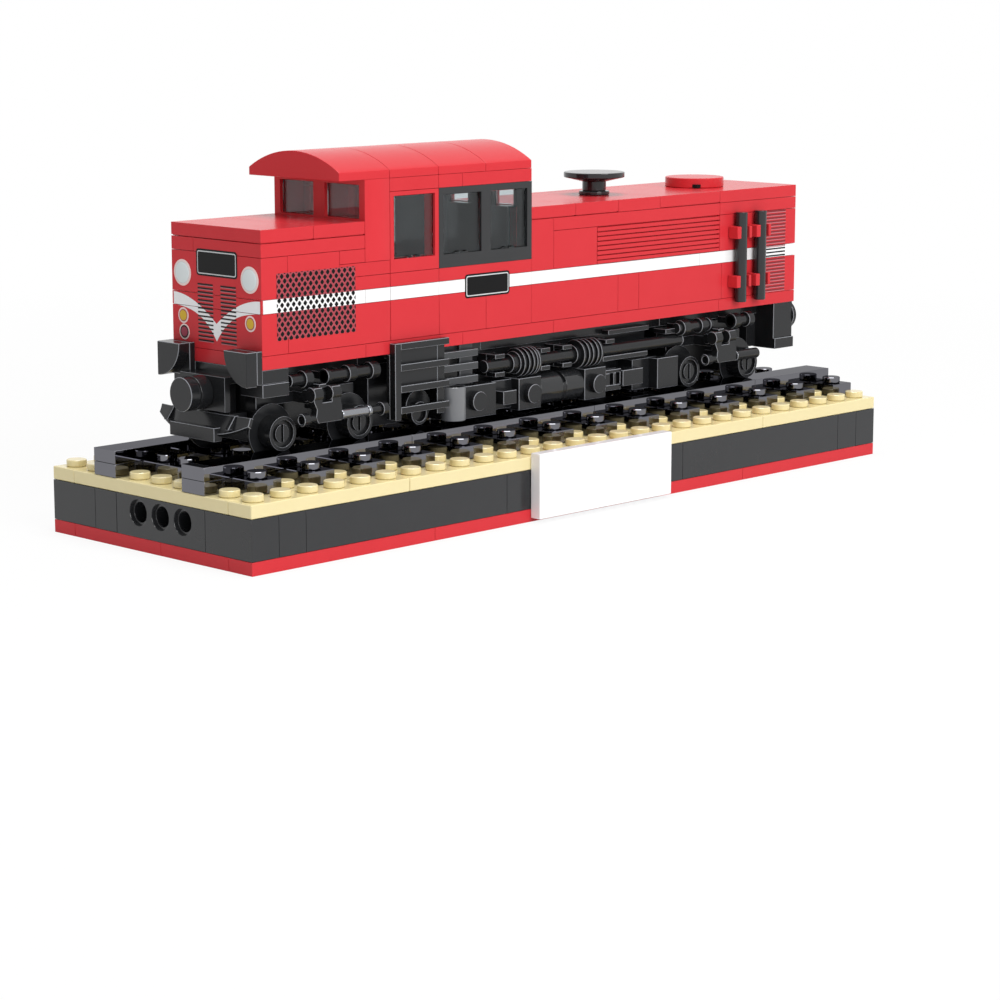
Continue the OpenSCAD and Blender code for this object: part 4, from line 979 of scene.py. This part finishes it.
# Slotted box: a back, a bar above and below the slots, and three bars between them
add_block(boxes, (-30.8, CARRIER_Y, 24.6), (-24.7, SIDE_Y - 2, 30))
for x0, x1, z0, z1 in ((-30.8, -24.7, 24.6, 26), (-30.8, -24.7, 29.1, 30), (-30.8, -30.3, 26, 29.1),
                       (-28.9, -27.9, 26, 29.1), (-26.5, -24.7, 26, 29.1)):
    add_block(boxes, (x0, SIDE_Y - 2, z0), (x1, SIDE_Y - 0.3, z1))
add_block(boxes, (-38.4, CARRIER_Y, 25.4), (-30.6, SIDE_Y + 0.5, 29.5))
add_block(boxes, (-44.6, CARRIER_Y, TANK_Z - 4), (-38, 13, TANK_Z + 4))
add_block(boxes, (-52.8, 12.4, TANK_Z - 4), (-44.6, SIDE_Y, TANK_Z + 4))
add_block(boxes, (-48.4, CARRIER_Y, TANK_Z - 4), (-44.6, 12.4, TANK_Z + 4))
mirrored(boxes)
black_piece("equipment_box_row", boxes, ["equipment_boxes"])

# ---- Side bars ----
# Short black bars under the footplate's edge, with wide collars. A flat lug behind each
# collar holds it to the beam.
BAR_Y, BAR_Z = 14.4, 38.2
bars = bmesh.new()
for x0, x1, collars in ((75.6, 81.9, ((75.6, 78),)),
                        (54.6, 71, ((54.6, 57.1), (61.9, 64.4), (69.8, 71))),
                        (-67, -53.6, ((-57.6, -55), (-64.5, -62), (-67, -65.8))),
                        (-83.9, -75.8, ((-78.4, -75.8), (-83.9, -81.6)))):
    add_rod(bars, ((x0 + x1) / 2, BAR_Y, BAR_Z), "x", 1.4, x1 - x0, 24)
    for c0, c1 in collars:
        add_rod(bars, ((c0 + c1) / 2, BAR_Y, BAR_Z), "x", 2.05 if c1 - c0 > 2 else 1.8, c1 - c0, 32)
        add_block(bars, (c0 + 0.3, 9.6, BAR_Z - 0.9), (c1 - 0.3, BAR_Y, BAR_Z + 0.9))
mirrored(bars)
black_piece("side_bar_rods", bars, ["side_bars"], sharper_than=60)

# ---- Bogies ----
# Each bogie is a black frame on a king pin. A side plate with two fingers hangs outside the
# wheels, and a jointed bar runs along it. The front bogie's bar has a pale grey sleeve.
LINK_Y, LINK_Z = 17.7, 29.3


def cut_plate(mesh, corners, y0, y1):
    """A flat plate with the given outline along x and z, between two depths."""
    outline = mesh.faces.new([mesh.verts.new((x, y0, z)) for x, z in corners])
    grown = bmesh.ops.extrude_face_region(mesh, geom=[outline])["geom"]
    bmesh.ops.translate(mesh, vec=(0, y1 - y0, 0),
                        verts=[part for part in grown if isinstance(part, bmesh.types.BMVert)])
    bmesh.ops.recalc_face_normals(mesh, faces=mesh.faces[:])


def bogie_sides(end, middle, body, sleeve_material, sleeve_slot):
    """The plates and bars on both sides of one bogie."""
    lined(end + "_bogie_frame", body)
    plates = bmesh.new()
    cut_plate(plates, [(middle + x, z) for x, z in (
        (-3.8, 28.2), (3.5, 28.2), (4.1, 29.6), (3.8, 31.4), (4.7, 33.2), (4.7, 36.4), (2.1, 36.4),
        (2.1, 32.9), (-0.8, 32.9), (-0.8, 36.4), (-3.5, 36.4), (-3.5, 33.2), (-4, 31.4), (-4, 29.6))],
              16.5, 18.7)
    for x0, x1 in ((-3.5, -0.8), (2.1, 4.7)):
        add_rod(plates, (middle + (x0 + x1) / 2, 17.4, 34.8), "x", 1.75, x1 - x0 + 0.2, 24)
    add_rod(plates, (middle + 0.6, 15.2, 34.4), "x", 1.4, 7.6, 24)
    add_block(plates, (middle - 0.3, 13.6, 36.2), (middle + 1.9, 17.4, 37))
    add_block(plates, (middle - 3.4, 13.6, 31.2), (middle + 3.4, 16.4, 32.8))
    mirrored(plates)
    black_piece(end + "_bogie_plates", plates, [end + "_bogie_sides"], body, sharper_than=65)
    links = bmesh.new()
    hollow(links, add_rod(links, (middle + 7, LINK_Y, LINK_Z), "x", 1.5, 2, 28), (1, 0, 0), 0.5, 1.2)
    add_rod(links, (middle + 1, LINK_Y, LINK_Z), "x", 0.95, 10.2, 20)
    if end == "front":
        add_rod(links, (middle - 15, LINK_Y, LINK_Z), "x", 0.95, 4.2, 20)
        stub = add_rod(links, (middle - 17.7, LINK_Y, LINK_Z), "x", BAR_R, 1.8, 28)
        hollow(links, stub, (1, 0, 0), 0.55, 1)
    mirrored(links)
    black_piece(end + "_bogie_bars", links, body=body, sharper_than=60)
    sleeve = bmesh.new()
    add_rod(sleeve, (middle - 8.8, LINK_Y, LINK_Z), "x", 1.15 if end == "front" else 1.4, 9.2, 28)
    if end == "front":
        add_rod(sleeve, (middle - 12.8, LINK_Y, LINK_Z), "x", 1.45, 1, 28)
    mirrored(sleeve)
    # Pale rounds on the black rear sleeves are a painted edge highlight
    soften(sleeve, 0.2, 2, pale=sleeve_slot == "black_abs")
    piece(end + "_bogie_sleeves", sleeve, sleeve_slot, sleeve_material, edge_highlight, body=body,
          stands_for=[end + "_bogie_links"])


# Silvery ABS: pale grey with a bright streak along the round upper side
sleeve_grey = moulded_abs("silvery_grey_abs", "#8e9095", "#87898e", roughness=0.16, metallic=0.8)
bogie_sides("front", 73.1, "front_bogie", sleeve_grey, "grey_abs")
bogie_sides("rear", -69.5, "rear_bogie", running_black, "black_abs")

# ---- Wheels ----
# Black train wheels on a plain axle: a thin deep flange inside the rail and a tread with
# a sunk face. The hub has an upright slot.
AXLE_Z, AXLE_R, TREAD_R, FLANGE_R = 26.5, 1.5, 4, 6.5
for name, x in (("front_leading", 85.1), ("front_trailing", 61.1),
                ("rear_leading", -57.5), ("rear_trailing", -81.5)):
    wheels = bmesh.new()
    tread = add_rod(wheels, (x, 13.8, AXLE_Z), "y", TREAD_R, 4.4, 48)
    hollow(wheels, tread, (0, 1, 0), 0.8, 0.9)
    add_rod(wheels, (x, 11.2, AXLE_Z), "y", FLANGE_R, 0.8, 64)
    for side in (-1, 1):
        half_hub = bmesh.new()
        add_rod(half_hub, (x, 15.3, AXLE_Z), "y", 2.1, 0.9, 32)
        keep_between(half_hub, "x", *sorted((x + side * 0.35, x + side * 3)), closed=True)
        join_into(wheels, half_hub)
    mirrored(wheels)
    add_rod(wheels, (x, 0, AXLE_Z), "y", AXLE_R, 22, 24)
    black_piece(name + "_wheels_and_axle", wheels, [name + "_wheelset"], name + "_wheels",
                sharper_than=60)
